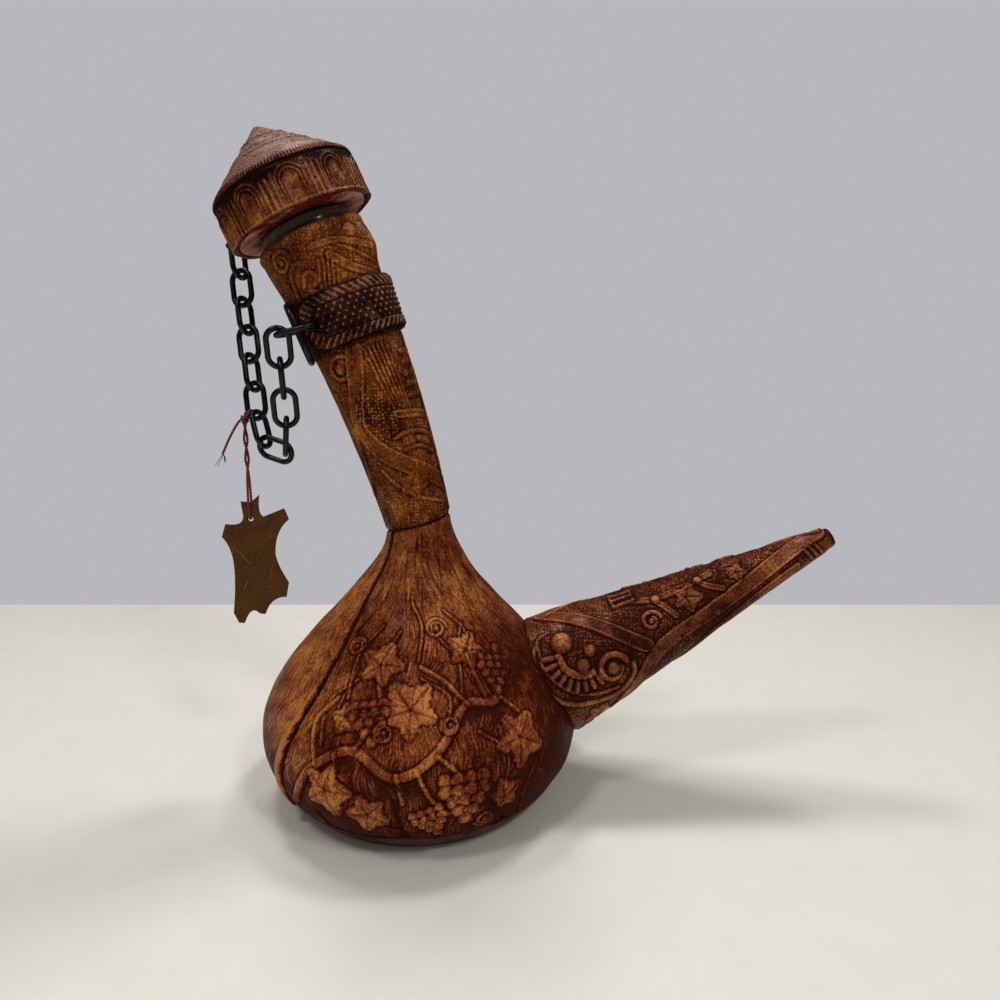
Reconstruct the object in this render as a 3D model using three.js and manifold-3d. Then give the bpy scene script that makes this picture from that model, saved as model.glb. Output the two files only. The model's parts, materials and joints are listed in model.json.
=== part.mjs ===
import * as THREE from 'three';
import { mergeVertices } from 'three/addons/utils/BufferGeometryUtils.js';
import Module from 'manifold-3d';

// Glass decanter dressed in tooled leather: a pear-shaped body with a long tapering spout, a neck that
// leans back from the spout, and a corked cap tied to the neck's collar by a chain that carries a tag.
// Millimetres, +Z up, origin in the middle of the base, the spout pointing to +X.

const wasm = await Module();
wasm.setup();
const degrees = THREE.MathUtils.degToRad;
const { Vector2, Vector3 } = THREE;
const acrossY = new Vector3(0, 1, 0);

// Walls and fits
const LEATHER = 2.4;
const SPOUT_LEATHER = 1.4;
const CAP_LEATHER = 2;
const GLASS = 3;
const SPOUT_GLASS = 1.1;
const CLEARANCE = 0.3;
const CORK_CLEARANCE = 0.6;

// Body: half an ellipse below the belly, a pear-shaped curve above it
const BELLY_RADIUS = 67;
const BELLY_HEIGHT = 30.5;
const BELLY_DROP = 46.5;
const BELLY_PULL = 29.5;
const BASE_SEAM_HEIGHT = 10;
const SIDE_SEAM_AZIMUTH = degrees(-134);
const SHOULDER_PULL = 28;
const SHOULDER_SPREAD = 2.2;
const BODY_SIDES = 40;

// Neck: an arc that leans away from the spout and widens towards the mouth
const NECK_SEAM_HEIGHT = 115.5;
const NECK_LENGTH = 119.5;
const NECK_ROOT_TILT = degrees(14);
const NECK_TOP_TILT = degrees(25);
const NECK_ROOT_RADIUS = 13.6;
const NECK_TOP_RADIUS = 21;
const NECK_WAIST = -0.3;
const NECK_TUCK = 12;
const NECK_SIDES = 24;
const LIP_HEIGHT = 5.2;

// Spout: a straight cone whose axis meets the body's axis
const SPOUT_AXIS_HEIGHT = 18.5;
const SPOUT_RISE = degrees(27.6);
const SPOUT_ROOT_DISTANCE = 66;
const SPOUT_ROOT_RADIUS = 25.5;
const SPOUT_REACH = 195;
const SPOUT_TIP_RADIUS = 4;
const SPOUT_SIDES = 24;

// Cap: a drum with a rounded shoulder and a low conical roof, on a cork
const CAP_RADIUS = 28.5;
const CAP_HEIGHT = 40;
const CAP_SLOPE = degrees(39);
const CAP_SHOULDER = 1.8;
const CAP_TOP_RADIUS = 2.5;
const CAP_TOP_DOME = 0.9;
const CAP_SIDES = 32;
const LINING = 1.6;
const CORK_DEPTH = 12;
const CORK_SOCKET = 8;

// Screw eye in the cap's wall
const EYE_AZIMUTH = degrees(155);
const EYE_RISE = 9.5;
const EYE_HOLE = 5.6;
const EYE_WIRE = 1.8;
const EYE_SHANK = 12;

// Collar strap with its tab, and the oval ring
const COLLAR_DROP = 33.5;
const COLLAR_WIDTH = 21;
const COLLAR_WRAP = degrees(255);
const TAB_AZIMUTH = degrees(270);
const TAB_LENGTH = 14;
const TAB_ROUNDING = 7;
const TAB_HOLE_INSET = 5;
const TAB_HOLE = 4.4;
const RING_LENGTH = 24;
const RING_WIDTH = 14.2;
const RING_WIRE = 2.2;
const RING_REST = 0.5;

// Chain
const LINK_LENGTH = 16.2;
const LINK_WIDTH = 10;
const LINK_WIRE = 1.9;
const LINK_PLAY = 0.65;
const LINK_PAIRS = 6;
const NARROW_ROLL = degrees(-74);
const WIDE_ROLL = degrees(16);
const CAP_STRAND_LEAN = degrees(8.5);
const BIGHT_TURN = degrees(7.5);
const COLLAR_LINK_LIFT = degrees(8);
const EYE_HANG = 0.3;

// Thread and tag
const THREAD = 0.9;
const THREAD_TURN = degrees(-70);
const KNOT = 2.6;
const TAG_THICKNESS = 1.2;
const TAG_HOLE = 3;
const TAG_HOLE_DROP = 42;

const tooledLeather = () => new THREE.MeshStandardMaterial({ color: 0x50261a, roughness: 0.55 });
const darkLeather = () => new THREE.MeshStandardMaterial({ color: 0x2b1510, roughness: 0.5, metalness: 0 });
const clearGlass = () => new THREE.MeshStandardMaterial({ color: 0x2a1c12, roughness: 0.1, metalness: 0 });
const pinkLining = () => new THREE.MeshStandardMaterial({ color: 0x6d5147, roughness: 0.9, metalness: 0 });
const wood = () => new THREE.MeshStandardMaterial({ color: 0x8a6a45, roughness: 0.8, metalness: 0 });
const steel = () => new THREE.MeshStandardMaterial({ color: 0x202022, roughness: 0.35, metalness: 0.8 });
const blackPlastic = () => new THREE.MeshStandardMaterial({ color: 0x0c0c0d, roughness: 0.25, metalness: 0 });
const redThread = () => new THREE.MeshStandardMaterial({ color: 0x6a1025, roughness: 0.9, metalness: 0 });
const tagLeather = () => new THREE.MeshStandardMaterial({ color: 0x5b3818, roughness: 0.6, metalness: 0 });

const neckBend = NECK_LENGTH / (NECK_TOP_TILT - NECK_ROOT_TILT);
const neckInset = LEATHER + CLEARANCE;
const spoutInset = SPOUT_LEATHER + CLEARANCE;

const decanter = new THREE.Group();
decanter.name = 'decanter';

// A manifold solid from a three.js geometry
function solidOf(geometry) {
  const bare = new THREE.BufferGeometry();
  bare.setAttribute('position', geometry.attributes.position);
  bare.setIndex(geometry.index);
  const welded = mergeVertices(bare, 1e-4);
  return new wasm.Manifold(new wasm.Mesh({
    numProp: 3,
    vertProperties: new Float32Array(welded.attributes.position.array),
    triVerts: new Uint32Array(welded.index.array),
  }));
}

function addMesh(group, name, shape, material) {
  let geometry = shape;
  if (!shape.isBufferGeometry) {
    const mesh = shape.getMesh();
    geometry = new THREE.BufferGeometry();
    geometry.setAttribute('position', new THREE.Float32BufferAttribute(mesh.vertProperties, 3));
    geometry.setIndex(Array.from(mesh.triVerts));
  }
  geometry.computeVertexNormals();
  const node = new THREE.Mesh(geometry, material);
  node.name = name;
  group.add(node);
  return node;
}

// A closed solid through rings of equally many points, each ring counter-clockwise about the way ahead
function loft(rings) {
  const sides = rings[0].length;
  const last = (rings.length - 1) * sides;
  const indices = [];
  for (let start = 0; start < last; start += sides) {
    for (let j = 0; j < sides; j += 1) {
      const here = start + j;
      const next = start + (j + 1) % sides;
      indices.push(here, next, next + sides, here, next + sides, here + sides);
    }
  }
  for (let j = 1; j < sides - 1; j += 1) {
    indices.push(0, j + 1, j, last, last + j, last + j + 1);
  }
  const geometry = new THREE.BufferGeometry().setFromPoints(rings.flat());
  geometry.setIndex(indices);
  return solidOf(geometry);
}

function circle(centre, first, second, radius, sides) {
  return Array.from({ length: sides }, (_, j) => {
    const turn = 2 * Math.PI * j / sides;
    const point = centre.clone().addScaledVector(first, radius * Math.cos(turn));
    return point.addScaledVector(second, radius * Math.sin(turn));
  });
}

// A solid turned about Z from an outline of radius and height that runs upwards
function turned(outline, sides) {
  const x = new Vector3(1, 0, 0);
  return loft(outline.map((p) => circle(new Vector3(0, 0, p.y), x, acrossY, p.x, sides)));
}

// A block wide enough to cut away everything above a plane
const CUT = 600;
function above(point, tilt) {
  const block = new THREE.BoxGeometry(CUT, CUT, CUT).translate(0, 0, CUT / 2);
  block.rotateY(-tilt).translate(point.x, point.y, point.z);
  return solidOf(block);
}

function below(point, tilt) {
  return above(point, tilt + Math.PI);
}

// Outline of the body up to the neck seam, set inwards along its normal
function bodyOutline(inset) {
  const points = [];
  const startAngle = -Math.asin(BELLY_HEIGHT / BELLY_DROP);
  const lowerSteps = 5;
  for (let i = 0; i < lowerSteps; i += 1) {
    const angle = startAngle * (1 - i / lowerSteps);
    points.push(new Vector2(BELLY_RADIUS * Math.cos(angle), BELLY_HEIGHT + BELLY_DROP * Math.sin(angle)));
  }
  const upper = new THREE.CubicBezierCurve(
    new Vector2(BELLY_RADIUS, BELLY_HEIGHT),
    new Vector2(BELLY_RADIUS, BELLY_HEIGHT + BELLY_PULL),
    new Vector2(NECK_ROOT_RADIUS + SHOULDER_SPREAD, NECK_SEAM_HEIGHT - SHOULDER_PULL),
    new Vector2(NECK_ROOT_RADIUS, NECK_SEAM_HEIGHT),
  );
  points.push(...upper.getPoints(9));
  return points.map((point, i) => {
    const before = points[Math.max(i - 1, 0)];
    const after = points[Math.min(i + 1, points.length - 1)];
    const along = after.clone().sub(before).normalize();
    const z = Math.max(point.y + along.x * inset, inset);
    return new Vector2(point.x - along.y * inset, z);
  });
}

// Place and frame of the neck's bent axis at a distance along it from the neck seam
function neckFrame(distance) {
  const tilt = NECK_ROOT_TILT + distance / neckBend;
  const x = neckBend * (Math.cos(tilt) - Math.cos(NECK_ROOT_TILT));
  const z = NECK_SEAM_HEIGHT + neckBend * (Math.sin(tilt) - Math.sin(NECK_ROOT_TILT));
  const centre = new Vector3(x, 0, z);
  const side = new Vector3(Math.cos(tilt), 0, Math.sin(tilt));
  return { tilt, centre, side };
}

function neckRadius(distance) {
  const share = distance / NECK_LENGTH;
  const taper = (NECK_TOP_RADIUS - NECK_ROOT_RADIUS) * share;
  return NECK_ROOT_RADIUS + taper + 4 * NECK_WAIST * share * (1 - share);
}

function neckRing(distance, inset, sides) {
  const { centre, side } = neckFrame(distance);
  return circle(centre, side, acrossY, neckRadius(distance) - inset, sides);
}

function neckSolid(inset, end) {
  const steps = 6;
  return loft(Array.from({ length: steps + 1 }, (_, i) => {
    const distance = -NECK_TUCK + (end + NECK_TUCK) * i / steps;
    return neckRing(distance, inset, NECK_SIDES);
  }));
}

// The body runs into the tilted ring where the neck starts
function bodySolid(inset, end) {
  const x = new Vector3(1, 0, 0);
  const level = bodyOutline(inset).slice(0, -1);
  const rings = level.map((p) => circle(new Vector3(0, 0, p.y), x, acrossY, p.x, BODY_SIDES));
  return loft([...rings, neckRing(end, inset, BODY_SIDES)]);
}

function spoutSolid(inset, end) {
  const along = new Vector3(Math.cos(SPOUT_RISE), 0, Math.sin(SPOUT_RISE));
  const side = new Vector3(Math.sin(SPOUT_RISE), 0, -Math.cos(SPOUT_RISE));
  const start = SPOUT_ROOT_DISTANCE / 2;
  return loft([start, end].map((distance) => {
    const share = (distance - SPOUT_ROOT_DISTANCE) / (SPOUT_REACH - SPOUT_ROOT_DISTANCE);
    const radius = SPOUT_ROOT_RADIUS + (SPOUT_TIP_RADIUS - SPOUT_ROOT_RADIUS) * share;
    const centre = new Vector3(0, 0, SPOUT_AXIS_HEIGHT).addScaledVector(along, distance);
    return circle(centre, side, acrossY, radius - inset, SPOUT_SIDES);
  }));
}

// Glass bottle: body, neck and spout blown as one
{
  const outside = bodySolid(neckInset, 0)
    .add(neckSolid(neckInset, NECK_LENGTH + LIP_HEIGHT))
    .add(spoutSolid(spoutInset, SPOUT_REACH - CLEARANCE));
  const inside = bodySolid(neckInset + GLASS, 0)
    .add(neckSolid(neckInset + GLASS, NECK_LENGTH + LIP_HEIGHT + GLASS))
    .add(spoutSolid(spoutInset + SPOUT_GLASS, SPOUT_REACH + GLASS));
  addMesh(decanter, 'glass_bottle', outside.subtract(inside), clearGlass());
}

// Leather on the body: two sides sewn together at the side seam, and the cup under them
{
  const shell = bodySolid(0, 0).subtract(bodySolid(LEATHER, CLEARANCE));
  const baseSeam = new Vector3(0, 0, BASE_SEAM_HEIGHT);
  const sides = shell.subtract(below(baseSeam.clone().setZ(BASE_SEAM_HEIGHT + CLEARANCE), 0));
  const half = (turn) => {
    const block = new THREE.BoxGeometry(CUT, CUT, CUT).translate(0, (CUT + CLEARANCE) / 2, 0);
    return solidOf(block.rotateZ(turn));
  };
  const spoutHole = spoutSolid(SPOUT_LEATHER, SPOUT_REACH);
  const front = sides.intersect(half(SIDE_SEAM_AZIMUTH)).subtract(spoutHole);
  const back = sides.intersect(half(SIDE_SEAM_AZIMUTH + Math.PI));
  addMesh(decanter, 'body_front_panel', front, tooledLeather());
  addMesh(decanter, 'body_back_panel', back, tooledLeather());
  addMesh(decanter, 'base_panel', shell.subtract(above(baseSeam, 0)), darkLeather());
}

// Leather sleeves on the neck and the spout
{
  const root = neckFrame(CLEARANCE);
  const neck = neckSolid(0, NECK_LENGTH)
    .subtract(neckSolid(LEATHER, NECK_LENGTH + LEATHER))
    .subtract(below(root.centre, NECK_ROOT_TILT));
  addMesh(decanter, 'neck_sleeve', neck, tooledLeather());
  const spout = spoutSolid(0, SPOUT_REACH)
    .subtract(spoutSolid(SPOUT_LEATHER, SPOUT_REACH + LEATHER))
    .subtract(bodySolid(-CLEARANCE, 0));
  addMesh(decanter, 'spout_sleeve', spout, tooledLeather());
}

// Cap, built upright on the neck's mouth
const mouth = neckFrame(NECK_LENGTH);
const cap = new THREE.Group();
cap.name = 'cap';
cap.position.copy(mouth.centre);
cap.rotation.y = -mouth.tilt;
decanter.add(cap);
const capLift = LIP_HEIGHT + CLEARANCE;
const capCorner = capLift + CAP_HEIGHT - CAP_RADIUS * Math.tan(CAP_SLOPE);
const capBorder = capCorner + CAP_SHOULDER * Math.sin(CAP_SLOPE);
const eyeHeight = capLift + EYE_RISE;
const eyeRing = (EYE_HOLE + EYE_WIRE) / 2;
const eyeOut = CAP_RADIUS + CLEARANCE + EYE_HOLE / 2 + EYE_WIRE;

// Outline of the cap from a starting height to its tip, set inwards from the leather's outside
function capOutline(inset, start) {
  const drop = inset / Math.cos(CAP_SLOPE);
  const radius = CAP_RADIUS - inset;
  const corner = capLift + CAP_HEIGHT - drop - radius * Math.tan(CAP_SLOPE);
  const rounding = new THREE.QuadraticBezierCurve(
    new Vector2(radius, corner - CAP_SHOULDER),
    new Vector2(radius, corner),
    new Vector2(radius - CAP_SHOULDER * Math.cos(CAP_SLOPE), corner + CAP_SHOULDER * Math.sin(CAP_SLOPE)),
  );
  const tip = corner + (radius - CAP_TOP_RADIUS) * Math.tan(CAP_SLOPE);
  return [
    new Vector2(radius, start),
    ...rounding.getPoints(4),
    new Vector2(CAP_TOP_RADIUS, tip),
    new Vector2(CAP_TOP_RADIUS / 2, tip + CAP_TOP_DOME),
  ];
}

{
  const leather = turned(capOutline(0, capLift), CAP_SIDES)
    .subtract(turned(capOutline(CAP_LEATHER, 0), CAP_SIDES));
  const eyeBoreRadius = EYE_WIRE / 2 + CLEARANCE;
  const eyeBore = new THREE.CylinderGeometry(eyeBoreRadius, eyeBoreRadius, CAP_RADIUS, 12);
  eyeBore.rotateZ(Math.PI / 2).translate(CAP_RADIUS - EYE_SHANK + CAP_RADIUS / 2 - CLEARANCE, 0, eyeHeight);
  const bore = solidOf(eyeBore.rotateZ(EYE_AZIMUTH));
  const band = leather.subtract(above(new Vector3(0, 0, capBorder), 0)).subtract(bore);
  addMesh(cap, 'cap_band', band, darkLeather());
  const roof = leather.subtract(below(new Vector3(0, 0, capBorder + CLEARANCE), 0));
  addMesh(cap, 'cap_roof', roof, tooledLeather());

  const liningTop = capLift + LINING;
  const corkTop = liningTop + CLEARANCE + CORK_SOCKET;
  const corkBore = (distance) => neckRadius(distance) - neckInset - GLASS - CORK_CLEARANCE;
  const corkRadius = corkBore(NECK_LENGTH);
  const socketRadius = corkRadius + CLEARANCE;
  const socket = turned([new Vector2(socketRadius, 0), new Vector2(socketRadius, corkTop)], CAP_SIDES);
  const liningRadius = CAP_RADIUS - CAP_LEATHER - CLEARANCE;
  const liningOutline = [new Vector2(liningRadius, capLift), new Vector2(liningRadius, liningTop)];
  const lining = turned(liningOutline, CAP_SIDES);
  addMesh(cap, 'cap_lining', lining.subtract(socket), pinkLining());

  const block = turned(capOutline(CAP_LEATHER + CLEARANCE, liningTop + CLEARANCE), CAP_SIDES);
  addMesh(cap, 'cap_block', block.subtract(socket).subtract(bore), wood());
  const cork = turned([
    new Vector2(corkBore(NECK_LENGTH - CORK_DEPTH) - 1, -CORK_DEPTH),
    new Vector2(corkBore(NECK_LENGTH - CORK_DEPTH), 1 - CORK_DEPTH),
    new Vector2(corkRadius, 0),
    new Vector2(corkRadius, corkTop - CLEARANCE),
  ], CAP_SIDES);
  addMesh(cap, 'stopper_cork', cork, wood());

  const shankLength = EYE_SHANK + eyeOut - eyeRing - CAP_RADIUS;
  const shank = new THREE.CylinderGeometry(EYE_WIRE / 2, EYE_WIRE / 2, shankLength, 10);
  shank.rotateZ(Math.PI / 2).translate(CAP_RADIUS - EYE_SHANK + shankLength / 2, 0, eyeHeight);
  const ring = new THREE.TorusGeometry(eyeRing, EYE_WIRE / 2, 8, 20);
  ring.rotateX(Math.PI / 2).translate(eyeOut, 0, eyeHeight);
  const eye = solidOf(shank.rotateZ(EYE_AZIMUTH)).add(solidOf(ring.rotateZ(EYE_AZIMUTH)));
  addMesh(cap, 'cap_eye', eye, steel());
}

// An oval link in the XY plane, its length along Y
function linkGeometry(length, width, wire) {
  const around = 16;
  const link = new THREE.TorusGeometry((width - wire) / 2, wire / 2, 8, around);
  link.rotateZ(Math.PI / around);
  const position = link.attributes.position;
  for (let i = 0; i < position.count; i += 1) {
    const y = position.getY(i);
    position.setY(i, y + Math.sign(y) * (length - width) / 2);
  }
  return link;
}

// A link placed by its centre, its length and its width
function placeLink(group, name, geometry, centre, along, across, material) {
  const normal = across.clone().cross(along);
  const node = addMesh(group, name, geometry, material);
  node.quaternion.setFromRotationMatrix(new THREE.Matrix4().makeBasis(across, along, normal));
  node.position.copy(centre);
  return node;
}

// Collar strap round the neck: it ends plainly behind and in a loose pierced tab in front
const collarDistance = NECK_LENGTH - COLLAR_DROP;
const collarFrame = neckFrame(collarDistance);
const collar = new THREE.Group();
collar.name = 'collar';
collar.position.copy(collarFrame.centre);
collar.rotation.y = -collarFrame.tilt;
decanter.add(collar);
const collarRadius = (height) => neckRadius(collarDistance + height) + CLEARANCE;
const tabHole = new Vector3(TAB_HOLE_INSET - TAB_LENGTH, -collarRadius(0) - LEATHER / 2, 0);
{
  const half = COLLAR_WIDTH / 2;
  const section = (place) => {
    const heights = [-half, half, half, -half];
    const depths = [0, 0, LEATHER, LEATHER];
    return heights.map((height, i) => place(collarRadius(height) + depths[i]).setZ(height));
  };
  const steps = 24;
  const wrap = Array.from({ length: steps + 1 }, (_, i) => {
    const azimuth = TAB_AZIMUTH + COLLAR_WRAP * i / steps;
    return section((radius) => new Vector3(radius * Math.cos(azimuth), radius * Math.sin(azimuth), 0));
  });
  const tabEnd = section((radius) => new Vector3(-TAB_LENGTH, -radius, 0));
  const corners = new THREE.Shape();
  corners.moveTo(TAB_ROUNDING - TAB_LENGTH, COLLAR_WIDTH);
  corners.lineTo(-2 * TAB_LENGTH, COLLAR_WIDTH);
  corners.lineTo(-2 * TAB_LENGTH, -COLLAR_WIDTH);
  corners.lineTo(TAB_ROUNDING - TAB_LENGTH, -COLLAR_WIDTH);
  corners.absellipse(TAB_ROUNDING - TAB_LENGTH, 0, TAB_ROUNDING, half, Math.PI * 1.5, Math.PI / 2, true, 0);
  corners.closePath();
  const depth = -2 * tabHole.y;
  const rounding = new THREE.ExtrudeGeometry(corners, { depth, bevelEnabled: false, curveSegments: 10 });
  const hole = new THREE.CylinderGeometry(TAB_HOLE / 2, TAB_HOLE / 2, 4 * LEATHER, 16);
  hole.translate(tabHole.x, tabHole.y, 0);
  const strap = loft([tabEnd, ...wrap])
    .subtract(solidOf(rounding.rotateX(Math.PI / 2)))
    .subtract(solidOf(hole));
  addMesh(collar, 'collar_strap', strap, darkLeather());
}

// Link through the tab's hole, and the oval ring that hangs in it beside the neck
const linkHalf = (LINK_WIDTH - LINK_WIRE) / 2;
const linkSpan = LINK_LENGTH - LINK_WIRE;
const linkAhead = new Vector3(-Math.cos(COLLAR_LINK_LIFT), 0, Math.sin(COLLAR_LINK_LIFT));
const linkOut = linkHalf - LEATHER / 2 - CLEARANCE - LINK_WIRE / 2;
const linkRun = Math.sqrt(linkHalf ** 2 - linkOut ** 2) + (LINK_LENGTH - LINK_WIDTH) / 2;
const collarLinkCentre = tabHole.clone().addScaledVector(linkAhead, linkRun);
collarLinkCentre.y -= linkOut;
const collarLinkEnd = collarLinkCentre.clone().addScaledVector(linkAhead, linkSpan / 2);
placeLink(
  collar, 'collar_link', linkGeometry(LINK_LENGTH, LINK_WIDTH, LINK_WIRE),
  collarLinkCentre, linkAhead, acrossY, blackPlastic(),
);
{
  const front = new Vector3(-TAB_LENGTH - CLEARANCE - RING_WIRE / 2, tabHole.y, 0);
  const restRadius = neckRadius(collarDistance) + RING_REST + RING_WIRE / 2;
  const span = RING_WIDTH - RING_WIRE;
  const away = front.length();
  const turnBack = Math.acos((restRadius ** 2 - away ** 2 - span ** 2) / (2 * span * away));
  const turn = Math.atan2(front.y, front.x) - turnBack;
  const towards = new Vector3(Math.cos(turn), Math.sin(turn), 0);
  const centre = front.addScaledVector(towards, span / 2);
  placeLink(
    collar, 'collar_ring', linkGeometry(RING_LENGTH, RING_WIDTH, RING_WIRE),
    centre, new Vector3(0, 0, 1), towards, blackPlastic(),
  );
}

// Chain from the cap's eye down to a low bend and up to the collar link. Every other link is narrow seen
// from the front and turns on the wires at its own ends; the wide links between hang round those wires.
decanter.updateMatrixWorld(true);
const eyeCentre = new Vector3(eyeOut * Math.cos(EYE_AZIMUTH), eyeOut * Math.sin(EYE_AZIMUTH), eyeHeight);
const chainStart = cap.localToWorld(eyeCentre.clone());
chainStart.z -= EYE_HANG;
const chainEnd = collar.localToWorld(collarLinkEnd.clone());
const widePitch = linkSpan - 2 * (LINK_WIRE + LINK_PLAY);
const chainLength = LINK_PAIRS * (linkSpan + widePitch);
const chainDrift = Math.asin((chainEnd.y - chainStart.y) / chainLength);
const linkCount = 2 * LINK_PAIRS;
const pitch = (i) => (i % 2 ? widePitch : linkSpan);

// Way along a link that leans from straight down towards the spout
function linkWay(lean) {
  const level = Math.cos(chainDrift);
  return new Vector3(Math.sin(lean) * level, Math.sin(chainDrift), -Math.cos(lean) * level);
}

// Leans of all links: the strand under the cap is given, the strand under the collar is leaned until the
// link at the bottom of the bend spans what is left between the two strands
function chainLeans() {
  const bottom = linkCount - 5;
  const leans = [];
  const low = chainStart.clone();
  for (let i = 0; i < bottom; i += 1) {
    leans.push(i === bottom - 1 ? CAP_STRAND_LEAN + BIGHT_TURN : CAP_STRAND_LEAN);
    low.addScaledVector(linkWay(leans[i]), pitch(i));
  }
  const rising = (lean) => {
    const point = chainEnd.clone();
    const turns = [];
    for (let i = linkCount - 1; i > bottom; i -= 1) {
      const turn = i === bottom + 1 ? lean + BIGHT_TURN : lean;
      turns.unshift(Math.PI - turn);
      point.addScaledVector(linkWay(Math.PI - turn), -pitch(i));
    }
    return { point, turns };
  };
  let near = degrees(-45);
  let far = degrees(45);
  for (let round = 0; round < 60; round += 1) {
    const lean = (near + far) / 2;
    const { point } = rising(lean);
    const gap = Math.hypot(point.x - low.x, point.z - low.z) * Math.sign(point.x - low.x);
    if (gap > widePitch * Math.cos(chainDrift)) {
      near = lean;
    } else {
      far = lean;
    }
  }
  const { point, turns } = rising(near);
  leans.push(Math.atan2(point.x - low.x, low.z - point.z), ...turns);
  return leans;
}

const chain = new THREE.Group();
chain.name = 'chain';
decanter.add(chain);
const knotLink = 5;
let threadWire;
{
  const pivot = chainStart.clone();
  chainLeans().forEach((lean, i) => {
    const way = linkWay(lean);
    const face = new Vector3(Math.cos(lean), 0, Math.sin(lean));
    const roll = i % 2 ? WIDE_ROLL : NARROW_ROLL;
    const across = face.clone().applyAxisAngle(way, roll);
    const centre = pivot.clone().addScaledVector(way, pitch(i) / 2);
    const name = `chain_link_${String.fromCharCode(97 + i)}`;
    const geometry = linkGeometry(LINK_LENGTH, LINK_WIDTH, LINK_WIRE);
    placeLink(chain, name, geometry, centre, way, across, blackPlastic());
    if (i === knotLink) {
      const bow = centre.clone().addScaledVector(way, (LINK_LENGTH - LINK_WIDTH) / 2);
      const out = way.clone().multiplyScalar(Math.cos(THREAD_TURN));
      out.addScaledVector(across, Math.sin(THREAD_TURN));
      const tangent = across.clone().multiplyScalar(Math.cos(THREAD_TURN));
      tangent.addScaledVector(way, -Math.sin(THREAD_TURN));
      threadWire = { point: bow.addScaledVector(out, linkHalf), tangent, out };
    }
    pivot.addScaledVector(way, pitch(i));
  });
}

// A round cord along a curve
function cordGeometry(points, diameter, steps) {
  const section = new THREE.Shape().absarc(0, 0, diameter / 2, 0, 2 * Math.PI, false);
  const extrudePath = new THREE.CatmullRomCurve3(points);
  return new THREE.ExtrudeGeometry(section, { steps, extrudePath, curveSegments: 4, bevelEnabled: false });
}

// Red thread tied round a link, its loose tail, and the doubled strand that goes down to the tag, through
// its hole and up again, twisted with itself
const turnRadius = (LINK_WIRE + THREAD) / 2 + CLEARANCE;
const knot = threadWire.point.clone().addScaledVector(threadWire.out, turnRadius + (KNOT - THREAD) / 2);
const tagHole = knot.clone();
tagHole.z -= TAG_HOLE_DROP;
{
  const turn = new THREE.TorusGeometry(turnRadius, THREAD / 2, 8, 16);
  const facing = new THREE.Quaternion().setFromUnitVectors(new Vector3(0, 0, 1), threadWire.tangent);
  turn.applyQuaternion(facing).translate(threadWire.point.x, threadWire.point.y, threadWire.point.z);
  const ball = new THREE.SphereGeometry(KNOT / 2, 10, 6).translate(knot.x, knot.y, knot.z);
  const at = (x, y, z) => new Vector3(knot.x + x, knot.y + y, knot.z + z);
  const tailRoute = [at(0, 0, 0), at(-2.6, -0.4, -2.4), at(-6, -0.8, -8), at(-9.6, -0.6, -15)];
  const tail = cordGeometry(tailRoute, THREAD, 10);
  addMesh(chain, 'thread_knot', solidOf(turn).add(solidOf(ball)).add(solidOf(tail)), redThread());

  const strand = cordGeometry([
    [0.65, 0, 40.3], [0, -0.65, 36.5], [-0.65, 0, 32.5], [0, 0.65, 28.5], [0.65, 0, 24.5],
    [0.2, -0.75, 20.5], [0, -1.2, 16.5], [0, -1.6, 12], [0, -1.8, 8], [0, -1.8, 4], [0, -1.75, 1.4],
    [0, -1.27, 0.53], [0, 0, 0], [0, 1.27, 0.53], [0, 1.75, 1.4], [0, 1.8, 4], [0, 1.8, 8], [0, 1.6, 12],
    [0, 1.2, 16.5], [-0.2, 0.75, 20.5], [-0.65, 0, 24.5], [0, -0.65, 28.5], [0.65, 0, 32.5],
    [0, 0.65, 36.5], [-0.65, 0, 40.3],
  ].map(([x, y, z]) => new Vector3(x, y, z).add(tagHole)), THREAD, 64);
  addMesh(chain, 'thread_strand', strand, redThread());
}

// Hide-shaped tag, its outline drawn from the hole
{
  const hide = new THREE.Shape();
  hide.moveTo(-3.7, 7.2);
  hide.lineTo(0.6, 7);
  hide.lineTo(4, 10);
  hide.quadraticCurveTo(2.6, 2, 5.2, 0.8);
  hide.lineTo(13.9, 4.3);
  hide.quadraticCurveTo(15, 2, 15.7, -0.4);
  hide.quadraticCurveTo(9.4, -5.5, 9.3, -15.4);
  hide.quadraticCurveTo(10, -20.5, 14.3, -27.6);
  hide.lineTo(13, -33.8);
  hide.quadraticCurveTo(6.6, -33.6, 3.7, -41.4);
  hide.lineTo(1.4, -41.2);
  hide.quadraticCurveTo(-2, -37, -5.4, -45.4);
  hide.lineTo(-7.7, -45.3);
  hide.lineTo(-9.7, -40.9);
  hide.quadraticCurveTo(-7.4, -25, -8.5, -17);
  hide.quadraticCurveTo(-9.4, -11, -12.5, -7.8);
  hide.lineTo(-10.7, -2.4);
  hide.quadraticCurveTo(-3, -3.6, -3, 1.4);
  hide.closePath();
  hide.holes.push(new THREE.Path().absarc(0, 0, TAG_HOLE / 2, 0, 2 * Math.PI, false));
  const sheet = { depth: TAG_THICKNESS, bevelEnabled: false, curveSegments: 5 };
  const tag = new THREE.ExtrudeGeometry(hide, sheet);
  tag.translate(0, 0, -TAG_THICKNESS / 2).rotateX(Math.PI / 2);
  const node = addMesh(chain, 'tag', tag, tagLeather());
  node.position.copy(tagHole);
}

export default decanter;
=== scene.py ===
import json
import math

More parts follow.
